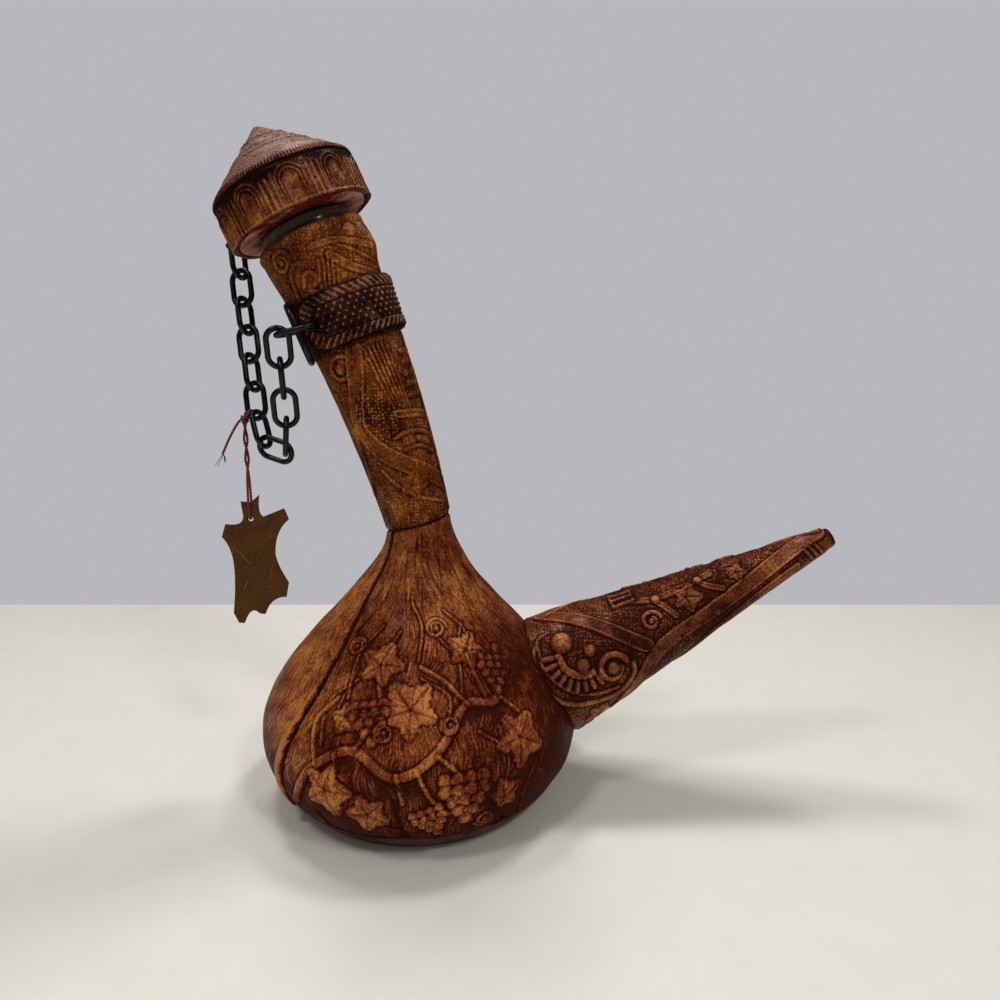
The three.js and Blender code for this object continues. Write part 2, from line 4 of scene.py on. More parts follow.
import bpy
import numpy as np
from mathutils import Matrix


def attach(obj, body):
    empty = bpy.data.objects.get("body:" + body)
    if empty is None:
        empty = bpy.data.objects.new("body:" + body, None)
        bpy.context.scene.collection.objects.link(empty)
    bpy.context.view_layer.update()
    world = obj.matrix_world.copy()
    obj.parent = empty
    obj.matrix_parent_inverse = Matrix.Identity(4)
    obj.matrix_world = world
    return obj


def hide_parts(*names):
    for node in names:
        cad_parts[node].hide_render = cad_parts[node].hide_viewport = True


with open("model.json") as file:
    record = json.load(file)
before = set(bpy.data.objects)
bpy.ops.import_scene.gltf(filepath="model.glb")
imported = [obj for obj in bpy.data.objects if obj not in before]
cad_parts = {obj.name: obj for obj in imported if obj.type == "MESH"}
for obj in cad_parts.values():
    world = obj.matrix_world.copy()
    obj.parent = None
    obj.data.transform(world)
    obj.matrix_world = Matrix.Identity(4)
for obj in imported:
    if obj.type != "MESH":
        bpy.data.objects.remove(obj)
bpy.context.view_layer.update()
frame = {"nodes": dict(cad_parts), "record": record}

# Studio: a pale table with a grey wall far behind it, under four small soft ceiling lamps and an even room.
# The camera stands low and close in front of the decanter and looks slightly down.
MM = 0.001
CAMERA_PLACE = (0.0341, -0.3, 0.1808)
CAMERA_DIP = math.radians(10.65)
CAMERA_LENS = 26.41
CAMERA_SENSOR = 36
CAMERA_NEAR = 0.01
TABLE_HALF_WIDTH = 1.6
TABLE_FRONT = -1.6
TABLE_BACK = 0.232
TABLE_THICKNESS = 0.03
ROOM_LIGHT = 0.3
ROOM_LESS_IN_SHINE = 0.2
LAMP_SIZE = 0.16
LAMP_AIM = (0.02, 0, 0.12)
LAMPS = (
    ("left front lamp", (-0.31, -0.41, 0.9), 2.0),
    ("right front lamp", (0.46, -0.62, 0.9), 2.4),
    ("left back lamp", (-0.22, 0.2, 0.9), 2.7),
    ("right back lamp", (0.25, 0.22, 0.9), 2.7),
)

scene = bpy.context.scene
scene.view_settings.view_transform = "Standard"


def paint(red, green, blue):
    """Linear colour of a paint that is given as screen values from 0 to 255"""
    steps = np.array([red, green, blue]) / 255
    low = steps / 12.92
    high = ((steps + 0.055) / 1.055) ** 2.4
    return (*np.where(steps <= 0.04045, low, high).tolist(), 1)


def fill(tree, node, inputs):
    """Sets a node's inputs, by name or number, to values or to sockets that are linked to them"""
    for key, value in inputs.items():
        if isinstance(value, bpy.types.NodeSocket):
            tree.links.new(value, node.inputs[key])
        else:
            node.inputs[key].default_value = value


def add(tree, kind, inputs=None, **settings):
    """A node of a tree with its settings and inputs"""
    made = tree.nodes.new(kind)
    for key, value in settings.items():
        setattr(made, key, value)
    fill(tree, made, inputs or {})
    return made


def finish_named(name):
    """A new material with its tree, its Principled shader and its object coordinates"""
    material = bpy.data.materials.new(name)
    material.use_nodes = True
    tree = material.node_tree
    shader = tree.nodes["Principled BSDF"]
    place = add(tree, "ShaderNodeTexCoord").outputs["Object"]
    return material, tree, shader, place


def noise(tree, place, scale, detail=4.0):
    return add(tree, "ShaderNodeTexNoise", {"Vector": place, "Scale": scale, "Detail": detail}).outputs[0]


def ramp(tree, value, low, high, bottom=0.0, top=1.0):
    """Smooth step of a value between two bounds"""
    bounds = {"Value": value, "From Min": low, "From Max": high, "To Min": bottom, "To Max": top}
    return add(tree, "ShaderNodeMapRange", bounds, interpolation_type="SMOOTHSTEP").outputs[0]


def mixed(tree, share, first, second):
    """Colour between two colours"""
    return add(tree, "ShaderNodeMix", {0: share, 6: first, 7: second}, data_type="RGBA").outputs[2]


def calc(tree, operation, first, second=0.0):
    return add(tree, "ShaderNodeMath", {0: first, 1: second}, operation=operation).outputs[0]


def bump(tree, height, strength, distance):
    amounts = {"Height": height, "Strength": strength, "Distance": distance}
    return add(tree, "ShaderNodeBump", amounts).outputs[0]


def mesh_piece(name, points, faces, material, layers=None, soft=True):
    """A mesh object from points in millimetres, with named values at its points; soft rounds its shading"""
    mesh = bpy.data.meshes.new(name)
    mesh.from_pydata((np.asarray(points) * MM).tolist(), [], faces)
    for layer, values in (layers or {}).items():
        store = mesh.attributes.new(layer, "FLOAT", "POINT")
        store.data.foreach_set("value", np.asarray(values, np.float32))
    mesh.polygons.foreach_set("use_smooth", [soft] * len(mesh.polygons))
    mesh.materials.append(material)
    mesh.update()
    piece = bpy.data.objects.new(name, mesh)
    scene.collection.objects.link(piece)
    return piece


camera = bpy.data.objects.new("camera", bpy.data.cameras.new("camera"))
camera.data.lens = CAMERA_LENS
camera.data.sensor_width = CAMERA_SENSOR
camera.data.clip_start = CAMERA_NEAR
camera.location = CAMERA_PLACE
camera.rotation_euler = (math.pi / 2 - CAMERA_DIP, 0, 0)
scene.collection.objects.link(camera)
scene.camera = camera

table_top, tree, shader, place = finish_named("table top")
grain = mixed(tree, noise(tree, place, 60), paint(225, 221, 211), paint(217, 213, 202))
fill(tree, shader, {"Base Color": grain, "Roughness": 0.5})
corners = [(x, y, z) for z in (-TABLE_THICKNESS, 0) for y in (TABLE_FRONT, TABLE_BACK)
           for x in (-TABLE_HALF_WIDTH, TABLE_HALF_WIDTH)]
sides = [(0, 2, 3, 1), (4, 5, 7, 6), (0, 1, 5, 4), (2, 6, 7, 3), (0, 4, 6, 2), (1, 3, 7, 5)]
table = mesh_piece("table", np.array(corners) / MM, sides, table_top, soft=False)

wall = bpy.data.worlds.new("wall")
wall.use_nodes = True
tree = wall.node_tree
path = add(tree, "ShaderNodeLightPath").outputs
seen = calc(tree, "MAXIMUM", path["Is Camera Ray"], path["Is Transmission Ray"])
dim = calc(tree, "MULTIPLY", path["Is Glossy Ray"], ROOM_LESS_IN_SHINE)
level = calc(tree, "SUBTRACT", ROOM_LIGHT, dim)
room = add(tree, "ShaderNodeBackground", {"Color": (1, 0.98, 0.95, 1), "Strength": level})
grey = add(tree, "ShaderNodeBackground", {"Color": paint(184, 184, 188), "Strength": 1})
both = add(tree, "ShaderNodeMixShader", {0: seen, 1: room.outputs[0], 2: grey.outputs[0]})
fill(tree, tree.nodes["World Output"], {0: both.outputs[0]})
scene.world = wall


def lamp(name, place, power):
    """A square soft lamp that faces the middle of the decanter"""
    light = bpy.data.lights.new(name, "AREA")
    light.size = LAMP_SIZE
    light.energy = power
    piece = bpy.data.objects.new(name, light)
    piece.location = place
    x, y, z = np.array(place) - LAMP_AIM
    piece.rotation_euler = (math.atan2(math.hypot(x, y), z), 0, math.atan2(x, -y))
    scene.collection.objects.link(piece)
    return piece


lamps = [lamp(*given) for given in LAMPS]

# Glass bottle: blown in one with its leaning neck and its spout, brown glass, seen only at the lip under the
# cap and at the spout's end. It stands inside the leather with a thin gap; outside a band round the lip it is
# painted near black, as painted shade in that gap and under the cap.
LEATHER = 2.4
SPOUT_LEATHER = 1.4
GLASS = 3.0
SPOUT_GLASS = 1.1
CLEARANCE = 0.3
BELLY_RADIUS = 67.0
BELLY_HEIGHT = 30.5
BELLY_DROP = 46.5
BELLY_PULL = 29.5
SHOULDER_PULL = 28.0
SHOULDER_SPREAD = 2.2
NECK_SEAM_HEIGHT = 115.5
NECK_LENGTH = 119.5
NECK_ROOT_TILT = math.radians(14)
NECK_TOP_TILT = math.radians(25)
NECK_ROOT_RADIUS = 13.6
NECK_TOP_RADIUS = 21.0
NECK_WAIST = -0.3
NECK_LEAN_START = 88.0
LIP_HEIGHT = 5.2
SPOUT_AXIS_HEIGHT = 18.5
SPOUT_RISE = math.radians(27.6)
SPOUT_ROOT = 66.0
SPOUT_ROOT_RADIUS = 25.5
SPOUT_REACH = 195.0
SPOUT_TIP_RADIUS = 4.0
GLASS_OUTER_SHARE = (0.955, 0.955, 0.97)
GLASS_INNER_SHARE = (0.91, 0.91, 0.94)
BARE_START = (1.2 * MM, 2.2 * MM)
BARE_END = (4.8 * MM, 3.6 * MM)

body_of = {node: body for body, members in frame["record"]["behaviour"]["bodies"].items() for node in members}


def put(piece, *nodes):
    """The piece stands for CAD nodes of one body, in their place and with their finish"""
    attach(piece, body_of[nodes[0]])
    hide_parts(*nodes)


def smooth(value, low, high):
    share = np.clip((value - low) / (high - low), 0, 1)
    return share * share * (3 - 2 * share)


def bezier(points, count):
    """Points along a quadratic or cubic curve"""
    share = np.linspace(0, 1, count)[:, None]
    points = [np.asarray(point, float) for point in points]
    while len(points) > 1:
        points = [a + (b - a) * share for a, b in zip(points, points[1:])]
    return points[0]


def run_along(points):
    """Length run along a path at each of its points"""
    return np.concatenate([[0], np.cumsum(np.linalg.norm(np.diff(points, axis=0), axis=1))])


lower_turn = np.linspace(-math.asin(BELLY_HEIGHT / BELLY_DROP), 0, 200)
body_outline = np.vstack([
    np.stack([BELLY_RADIUS * np.cos(lower_turn), BELLY_HEIGHT + BELLY_DROP * np.sin(lower_turn)], 1),
    bezier([(BELLY_RADIUS, BELLY_HEIGHT), (BELLY_RADIUS, BELLY_HEIGHT + BELLY_PULL),
            (NECK_ROOT_RADIUS + SHOULDER_SPREAD, NECK_SEAM_HEIGHT - SHOULDER_PULL),
            (NECK_ROOT_RADIUS, NECK_SEAM_HEIGHT)], 400)[1:],
])
body_run = run_along(body_outline)
neck_bend = NECK_LENGTH / (NECK_TOP_TILT - NECK_ROOT_TILT)


def on_body(azimuth, up):
    """Point on the body's leather, by degrees round it and millimetres along its outline from the base"""
    turn = np.radians(azimuth)
    radius = np.interp(up, body_run, body_outline[:, 0])
    height = np.interp(up, body_run, body_outline[:, 1])
    lean = smooth(height, NECK_LEAN_START, NECK_SEAM_HEIGHT)
    x = radius * np.cos(turn) * (1 + (math.cos(NECK_ROOT_TILT) - 1) * lean)
    return np.stack([x, radius * np.sin(turn), height + x * math.tan(NECK_ROOT_TILT) * lean], -1)


def neck_axis(up):
    """Tilt of the neck's bent axis and its place, sideways and up, by millimetres along it"""
    tilt = NECK_ROOT_TILT + up / neck_bend
    x = neck_bend * (np.cos(tilt) - math.cos(NECK_ROOT_TILT))
    z = neck_bend * (np.sin(tilt) - math.sin(NECK_ROOT_TILT))
    return tilt, x, NECK_SEAM_HEIGHT + z


def neck_radius(up):
    share = up / NECK_LENGTH
    taper = (NECK_TOP_RADIUS - NECK_ROOT_RADIUS) * share
    return NECK_ROOT_RADIUS + taper + 4 * NECK_WAIST * share * (1 - share)


def on_neck(azimuth, up, inset=0.0):
    """Point on the neck's leather, by degrees round its bent axis and millimetres along it"""
    turn = np.radians(azimuth)
    tilt, x, z = neck_axis(up)
    radius = neck_radius(up) - inset
    side = radius * np.cos(turn)
    return np.stack([x + side * np.cos(tilt), radius * np.sin(turn), z + side * np.sin(tilt)], -1)


def on_spout(round_about, out, inset=0.0):
    """Point on the spout's leather, by degrees from its top to the front and millimetres along its axis"""
    turn = np.radians(round_about)
    share = (out - SPOUT_ROOT) / (SPOUT_REACH - SPOUT_ROOT)
    radius = SPOUT_ROOT_RADIUS + (SPOUT_TIP_RADIUS - SPOUT_ROOT_RADIUS) * share - inset
    up = radius * np.cos(turn)
    x = out * math.cos(SPOUT_RISE) - up * math.sin(SPOUT_RISE)
    z = SPOUT_AXIS_HEIGHT + out * math.sin(SPOUT_RISE) + up * math.cos(SPOUT_RISE)
    return np.stack([x, -radius * np.sin(turn), z], -1)


def loop_faces(rows, columns, closed=False, capped=False, first=0):
    """Quads over rings of points, each ring counter-clockwise about the way to the next; closed joins the
    last ring to the first, and capped shuts both ends"""
    faces = []
    for row in range(rows if closed else rows - 1):
        a, b = first + row * columns, first + (row + 1) % rows * columns
        faces += [(a + k, a + (k + 1) % columns, b + (k + 1) % columns, b + k) for k in range(columns)]
    if capped:
        faces.append(tuple(range(first, first + columns))[::-1])
        faces.append(tuple(range(first + (rows - 1) * columns, first + rows * columns)))
    return faces


around = np.arange(0, 360, 4.0)
glass_inset = LEATHER + CLEARANCE
lip_top = NECK_LENGTH + LIP_HEIGHT
glass_ups = np.linspace(0, body_run[-1], 40)
neck_steps = [(up, 0) for up in np.linspace(2, lip_top - 0.6, 30)]
neck_steps += [(lip_top - 0.2, 0.3), (lip_top, 1), (lip_top, GLASS - 0.8)]
neck_steps += [(up, GLASS) for up in np.linspace(lip_top - 1, 2, 20)]
rings = [on_body(around, up) * GLASS_OUTER_SHARE + (0, 0, glass_inset) for up in glass_ups[:-3]]
rings += [on_neck(around, up, glass_inset + inset) for up, inset in neck_steps]
rings += [on_body(around, up) * GLASS_INNER_SHARE + (0, 0, 2 * glass_inset) for up in glass_ups[-4::-1]]
spout_inset = SPOUT_LEATHER + CLEARANCE
spout_outs = np.linspace(SPOUT_ROOT + 2, SPOUT_REACH - CLEARANCE, 16)
spout_rings = [on_spout(around, out, spout_inset) for out in spout_outs]
spout_rings += [on_spout(around, out, spout_inset + SPOUT_GLASS) for out in spout_outs[::-1]]
glass_points = np.vstack(rings + spout_rings)
glass_faces = loop_faces(len(rings), len(around), capped=True)
glass_faces += loop_faces(len(spout_rings), len(around), closed=True, first=len(rings) * len(around))

_, mouth_x, mouth_z = neck_axis(NECK_LENGTH)
mouth = np.array([mouth_x, 0, mouth_z])
mouth_way = np.array([-math.sin(NECK_TOP_TILT), 0, math.cos(NECK_TOP_TILT)])
brown_glass, tree, shader, place = finish_named("brown glass")
streaks = noise(tree, place, 90)
rise = add(tree, "ShaderNodeVectorMath", {0: place, 1: mouth_way}, operation="DOT_PRODUCT").outputs["Value"]
above = calc(tree, "SUBTRACT", rise, float(mouth @ mouth_way) * MM)
# Painted shade: bare is 1 on a band round the lip, where the glass keeps its own streaked brown; everywhere
# else it is painted near black (16, 8, 5) for the shade in the gaps under the cap and inside the leather
bare = calc(tree, "MULTIPLY", ramp(tree, above, *BARE_START), ramp(tree, above, *BARE_END))
clean = mixed(tree, streaks, paint(96, 84, 64), paint(58, 48, 35))
fill(tree, shader, {
    "Base Color": mixed(tree, bare, paint(16, 8, 5), clean),
    "Roughness": ramp(tree, streaks, 0.3, 0.7, 0.16, 0.3),
    "IOR": 1.5,
    "Transmission Weight": 0.15,
})
put(mesh_piece("glass-bottle", glass_points, glass_faces, brown_glass), "glass_bottle")

# Body panels: two sides of thick veg-tanned leather, wet-moulded over the bottle and sewn edge to edge at the
# side seam. Each is tooled with a grapevine on a ground of fine hair strokes, dyed and rubbed pale on top.
# The vine's tables give degrees round the body and millimetres up its outline, then turns and sizes.
BASE_SEAM_HEIGHT = 10.0
SIDE_SEAM = -134.0
SEAM_SWAY = 4.5
SEAM_GAP = 0.03
WELT_WIDTH = 5.6
WELT_TOP = 78.0
WELT_HEIGHT = 1.1
VINE_HALF_WIDTH = 1.7
VINE_HEIGHT = 1.0
LEAF_HEIGHT = 1.3
GRAPE_HEIGHT = 1.1
HAIR_SPREAD = 1.15
BACK_VALUE = -0.4
BODY_ROWS = 201
BODY_COLUMNS = 341
BACK_SKIP = 10
BODY_STEP = 1.5
RAYS = 16
STEM = ((-131, 24), (-121, 42), (-107, 51), (-93, 43), (-80, 50), (-67, 66), (-53, 66), (-42, 84))
TWIGS = (
    ((-120, 44), (-124, 58), (-118, 68)), ((-106, 52), (-100, 66), (-103, 78)), ((-92, 44), (-90, 34)),
    ((-79, 50), (-72, 42), (-71, 36)), ((-66, 66), (-74, 76), (-84, 82)), ((-52, 66), (-46, 58)),
    ((-113, 49), (-112, 36)), ((-58, 68), (-60, 84), (-52, 92)), ((-86, 46), (-82, 36), (-76, 28)),
)
STROKES = (
    (-122, 92, 10, 30), (-96, 96, -8, 24), (-74, 94, 12, 26), (-56, 98, -10, 24), (-84, 78, 16, 20),
    (-112, 76, -14, 26), (-64, 56, 12, 22), (-100, 24, 14, 12), (-44, 40, -8, 26), (-108, 98, -12, 30),
    (-66, 104, 14, 22), (-90, 108, 10, 24),
)
LEAVES = (
    (-115, 36, 160, 11), (-103, 82, 15, 9.5), (-101, 29, 190, 9), (-88, 66, -35, 12),
    (-50, 50, 120, 11.5), (-60, 86, 30, 8.5), (-58, 31, 60, 7.5), (-112, 62, 200, 6.5),
)
BUNCHES = ((-71, 41, 0, 2.7), (-104, 67, 14, 2.1), (-47, 80, -20, 2.0), (-83, 30, 20, 1.9))
TENDRILS = (
    (-74, 97, 4.2, 0), (-97, 58, 3.6, 90), (-64, 22, 4.0, 200), (-120, 88, 3.6, 40), (-74, 60, 3.4, 150),
)
DARTS = ((-90, 21, 3), (-118, 9, 3), (-54, 17, 9))


def ridge(offset, width):
    """A soft line: 1 on it, and hardly anything at twice the width from it"""
    return np.exp(-(offset / width) ** 2)


def rounded(inside, radius):
    """Share of the full height on a half-round form, by the depth in from its edge"""
    return np.sqrt(np.clip(1 - (1 - inside / radius) ** 2, 0, 1))


class Hide:
    """A tooled leather face on a grid, by degrees round the piece and millimetres along it. Each point has
    the height of the tooling, a tone from dark to rubbed, and shares of stippling and of hair strokes"""

    LAYERS = ("height", "tone", "stipple", "hair")
    GROUND_LEFT = {"height": 0.25, "tone": 0.3, "stipple": 0.15, "hair": 0.45}
    RIM_OUT = 0.25
    RIM_WIDTH = 0.45
    RIM_DEPTH = 0.3
    RIM_DARK = 1.15
    MARGIN = 1.5
    OUTSIDE = -9

    def __init__(self, surface, degrees, along):
        self.surface = surface
        self.degrees, self.along = degrees, along
        self.points = surface(degrees, along)
        normal = np.cross(np.gradient(self.points, axis=1), np.gradient(self.points, axis=0))
        self.normal = normal / np.maximum(np.linalg.norm(normal, axis=2, keepdims=True), 1e-9)
        for layer in self.LAYERS:
            setattr(self, layer, np.zeros(degrees.shape))

    def emboss(self, inside, height, tone):
        """Raises to a height where inside, the depth in millimetres from an outline, is positive, and cuts
        the outline in dark"""
        rim = ridge(inside + self.RIM_OUT, self.RIM_WIDTH)
        change = {"height": (height, self.RIM_DEPTH * rim), "tone": (tone, self.RIM_DARK * rim)}
        for layer, left in self.GROUND_LEFT.items():
            value = getattr(self, layer)
            raised, cut = change.get(layer, (0, 0))
            setattr(self, layer, np.where(inside > 0, left * value + raised, value - cut))

    def away(self, path, reach):
        """Distance of each point from a path of degrees and millimetres, at most the reach"""
        line = self.surface(path[:, 0], path[:, 1])
        found = np.full(self.degrees.shape, float(reach))
        for a, b in zip(line, line[1:]):
            near = (np.abs(self.points - (a + b) / 2) < reach + np.linalg.norm(b - a) / 2).all(axis=2)
            offset = self.points[near] - a
            share = np.clip(offset @ (b - a) / max((b - a) @ (b - a), 1e-9), 0, 1)
            found[near] = np.minimum(found[near], np.linalg.norm(offset - share[:, None] * (b - a), axis=1))
        return found

    def cord(self, path, half_width, height, tone=0.5):
        """A rounded raised line"""
        inside = half_width - self.away(path, half_width + self.MARGIN)
        level = rounded(inside, half_width)
        self.emboss(inside, height * level, tone * level)

    def ribbon(self, path, half_width, height, tone=0.7, ground=-0.3):
        """A low band between two raised pale edges"""
        inside = half_width - self.away(path, half_width + self.MARGIN)
        bead = ridge(inside - 0.5, 0.4)
        level = 0.35 * smooth(inside, 0, 0.5) + 0.65 * bead
        self.emboss(inside, height * level, (tone - ground) * bead + ground)

    def groove(self, path, half_width, depth, tone=-0.8):
        """A pressed line"""
        press = ridge(self.away(path, 4 * half_width), half_width)
        self.height -= depth * press
        self.tone += tone * press

    def nearby(self, degrees, along, reach):
        """Mask of the points near a place, with their millimetres across and along from it"""
        centre = self.surface(np.array(degrees), np.array(along))
        ahead = self.surface(np.array(degrees), np.array(along + 0.5)) - centre
        side = self.surface(np.array(degrees + 0.5), np.array(along)) - centre
        ahead /= np.linalg.norm(ahead)
        side -= ahead * (side @ ahead)
        side /= np.linalg.norm(side)
        offset = self.points - centre
        near = np.linalg.norm(offset, axis=2) < reach
        return near, offset @ side, offset @ ahead

    def ball(self, degrees, along, radius, height, tone=0.6):
        """A half-round boss"""
        near, x, y = self.nearby(degrees, along, radius + 2)
        inside = np.where(near, radius - np.hypot(x, y), self.OUTSIDE)
        level = rounded(inside, radius)
        self.emboss(inside, height * level, tone * level)

    def per_degree(self, degrees, along):
        """Millimetres round the piece in one degree at a place"""
        ends = self.surface(np.array([degrees, degrees + 1.0]), np.array([along, along]))
        return np.linalg.norm(ends[1] - ends[0])

    def volute(self, degrees, along, radius, turns, start, half_width, height, tone=0.5, core=0.26):
        """A spiral cord that closes round a boss"""
        scale = self.per_degree(degrees, along)
        turn = np.linspace(0, 2 * math.pi * turns, int(26 * abs(turns)))
        reach = radius * np.linspace(1, core + 0.1, len(turn))
        angle = math.radians(start) + turn
        path = np.stack([degrees + reach * np.cos(angle) / scale, along + reach * np.sin(angle)], 1)
        self.cord(path, half_width, height, tone)
        self.ball(degrees, along, core * radius, 1.25 * height, tone)

    def fan(self, degrees, along, reach, bearings, half_width, height, tone=0.5):
        """Rounded ribs that spread about a place, between two distances from it"""
        scale = self.per_degree(degrees, along)
        far = np.linspace(*reach, 5)
        for bearing in np.radians(bearings):
            path = np.stack([degrees + far * math.cos(bearing) / scale, along + far * math.sin(bearing)], 1)
            self.cord(path, half_width, height, tone)

    def leaf(self, degrees, along, turn, size, height, tone=0.45):
        """A five-lobed vine leaf, its tip towards the turn in degrees from straight along"""
        near, x, y = self.nearby(degrees, along, 1.5 * size)
        way = math.radians(turn)
        ahead = x * math.sin(way) + y * math.cos(way)
        side = x * math.cos(way) - y * math.sin(way)
        reach = np.hypot(ahead, side)
        angle = np.arctan2(side, ahead)
        lobes = 0.58 + 0.36 * (1 - np.abs(np.sin(2.5 * angle))) ** 0.7 + 0.1 * np.cos(angle)
        teeth = 0.07 * np.abs(np.sin(12.5 * angle))
        inside = np.where(near, size * (lobes + teeth) - reach, self.OUTSIDE)
        dome = 0.5 * smooth(inside, 0, 0.6) + 0.5 * smooth(inside, 0, 0.45 * size)
        curl = 0.15 * np.sin(3 * angle + turn) + 0.1 * np.cos(5 * reach / size + turn)
        self.emboss(inside, height * dome, tone * (0.75 * smooth(inside, 0, 1.0) + 0.4 * dome - 0.25) + curl)
        for vein in (0, 72, -72, 144, -144):
            bearing = angle - math.radians(vein)
            length = np.where(np.cos(bearing) > 0, reach, 99)
            press = ridge(reach * np.sin(bearing), 0.42) * smooth(inside, 0.2, 1.2) * (length < 0.86 * size)
            self.height -= 0.45 * press
            self.tone -= 0.9 * press
        ribs = np.abs(np.sin(9 * angle + 0.5 * reach)) < 0.16
        self.tone -= 0.4 * ribs * smooth(inside, 0.5, 1.5) * (reach > 0.3 * size)

    def grapes(self, degrees, along, turn, size, rows=5):
        """A hanging bunch of round grapes"""
        scale = self.per_degree(degrees, along)
        way = math.radians(turn)
        for row in range(rows):
            count = rows - row if row else rows - 1
            for k in range(count):
                x = (k - (count - 1) / 2) * 1.75 * size
                y = -row * 1.5 * size
                across = x * math.cos(way) - y * math.sin(way)
                up = x * math.sin(way) + y * math.cos(way)
                self.ball(degrees + across / scale, along + up, size, GRAPE_HEIGHT, 0.42)

    def roll_edge(self, from_edge, width, drop, dark=0.5):
        """The cut edge, turned down and darker"""
        fall = 1 - smooth(from_edge, 0, width)
        self.height -= drop * fall
        self.tone -= dark * fall


def through(points, step):
    """Points at about a step along a smooth curve through a few points"""
    points = np.asarray(points, float)
    ends = np.vstack([2 * points[0] - points[1], points, 2 * points[-1] - points[-2]])
    curve = []
    for a, b, c, d in zip(ends, ends[1:], ends[2:], ends[3:]):
        count = max(2, int(np.linalg.norm(c - b) / step))
        t = np.linspace(0, 1, count, endpoint=False)[:, None]
        curve.append(b + 0.5 * t * (c - a + t * (2 * a - 5 * b + 4 * c - d + t * (3 * (b - c) + d - a))))
    return np.vstack([*curve, points[-1:]])


def wander(points, length, seed):
    """A slow uneven swell between about -1 and 1 over points in millimetres"""
    x, y, z = np.moveaxis(points / length, -1, 0)
    swell = np.sin(x * 5.1 + seed) * np.cos(y * 4.3 - seed)
    swell += np.sin(y * 7.7 + 2 * seed) * np.cos(z * 6.1 + seed)
    swell += np.sin(z * 4.9 - 3 * seed) * np.cos(x * 8.3 + seed)
    return swell / 2


def shell(hide, thickness, skip, wrap, tip=False):
    """Points and faces of a leather piece: the tooled face, a plainer back, and the cut edges between them.
    wrap joins it round; tip closes its last ring on both faces"""
    face = hide.points + hide.normal * hide.height[..., None]
    back = (hide.points - hide.normal * thickness)[::skip, ::skip]
    rows, columns = face.shape[:2]
    back_rows, back_columns = back.shape[:2]
    count = rows * columns

    def outer(row, column):
        return row * columns + column % columns

    def inner(row, column):
        return count + row * back_columns + column % back_columns

    faces = [(outer(i, j), outer(i, j + 1), outer(i + 1, j + 1), outer(i + 1, j))
             for i in range(rows - 1) for j in range(columns if wrap else columns - 1)]
    cells = back_columns if wrap else back_columns - 1
    faces += [(inner(i, j), inner(i + 1, j), inner(i + 1, j + 1), inner(i, j + 1))
              for i in range(back_rows - 1) for j in range(cells)]
    last, back_last = rows - 1, back_rows - 1
    for j in range(cells):
        fine = range(j * skip, (j + 1) * skip + 1)
        faces.append((inner(0, j), inner(0, j + 1), *[outer(0, k) for k in reversed(fine)]))
        if not tip:
            faces.append((inner(back_last, j + 1), inner(back_last, j), *[outer(last, k) for k in fine]))
    if tip:
        faces.append(tuple(outer(last, k) for k in range(columns)))
        faces.append(tuple(inner(back_last, k) for k in reversed(range(back_columns))))
    if not wrap:
        end, back_end = columns - 1, back_columns - 1
        for i in range(back_last):
            fine = range(i * skip, (i + 1) * skip + 1)
            faces.append((inner(i + 1, 0), inner(i, 0), *[outer(k, 0) for k in fine]))
            far = [outer(k, end) for k in reversed(fine)]
            faces.append((inner(i, back_end), inner(i + 1, back_end), *far))
    layers = {}
    plain_back = np.full(back_rows * back_columns, BACK_VALUE)
    for name in Hide.LAYERS:
        layers[name] = np.concatenate([getattr(hide, name).ravel(), plain_back])
    for name, values in (("across", hide.degrees * HAIR_SPREAD), ("along", hide.along)):
        layers[name] = np.concatenate([values.ravel(), values[::skip, ::skip].ravel()])
    return np.vstack([face.reshape(-1, 3), back.reshape(-1, 3)]), faces, layers


def sew(name, hide, finish, thickness, skip, wrap=True, tip=False):
    """The piece made of a hide, in place of the CAD node of its name"""
    points, faces, layers = shell(hide, thickness, skip, wrap, tip)
    put(mesh_piece(name, points, faces, finish, layers), name.replace("-", "_"))


def sockets(tree, way, kind, *names):
    """Sockets of one kind on a node group"""
    for name in names:
        tree.interface.new_socket(name, in_out=way, socket_type="NodeSocket" + kind)


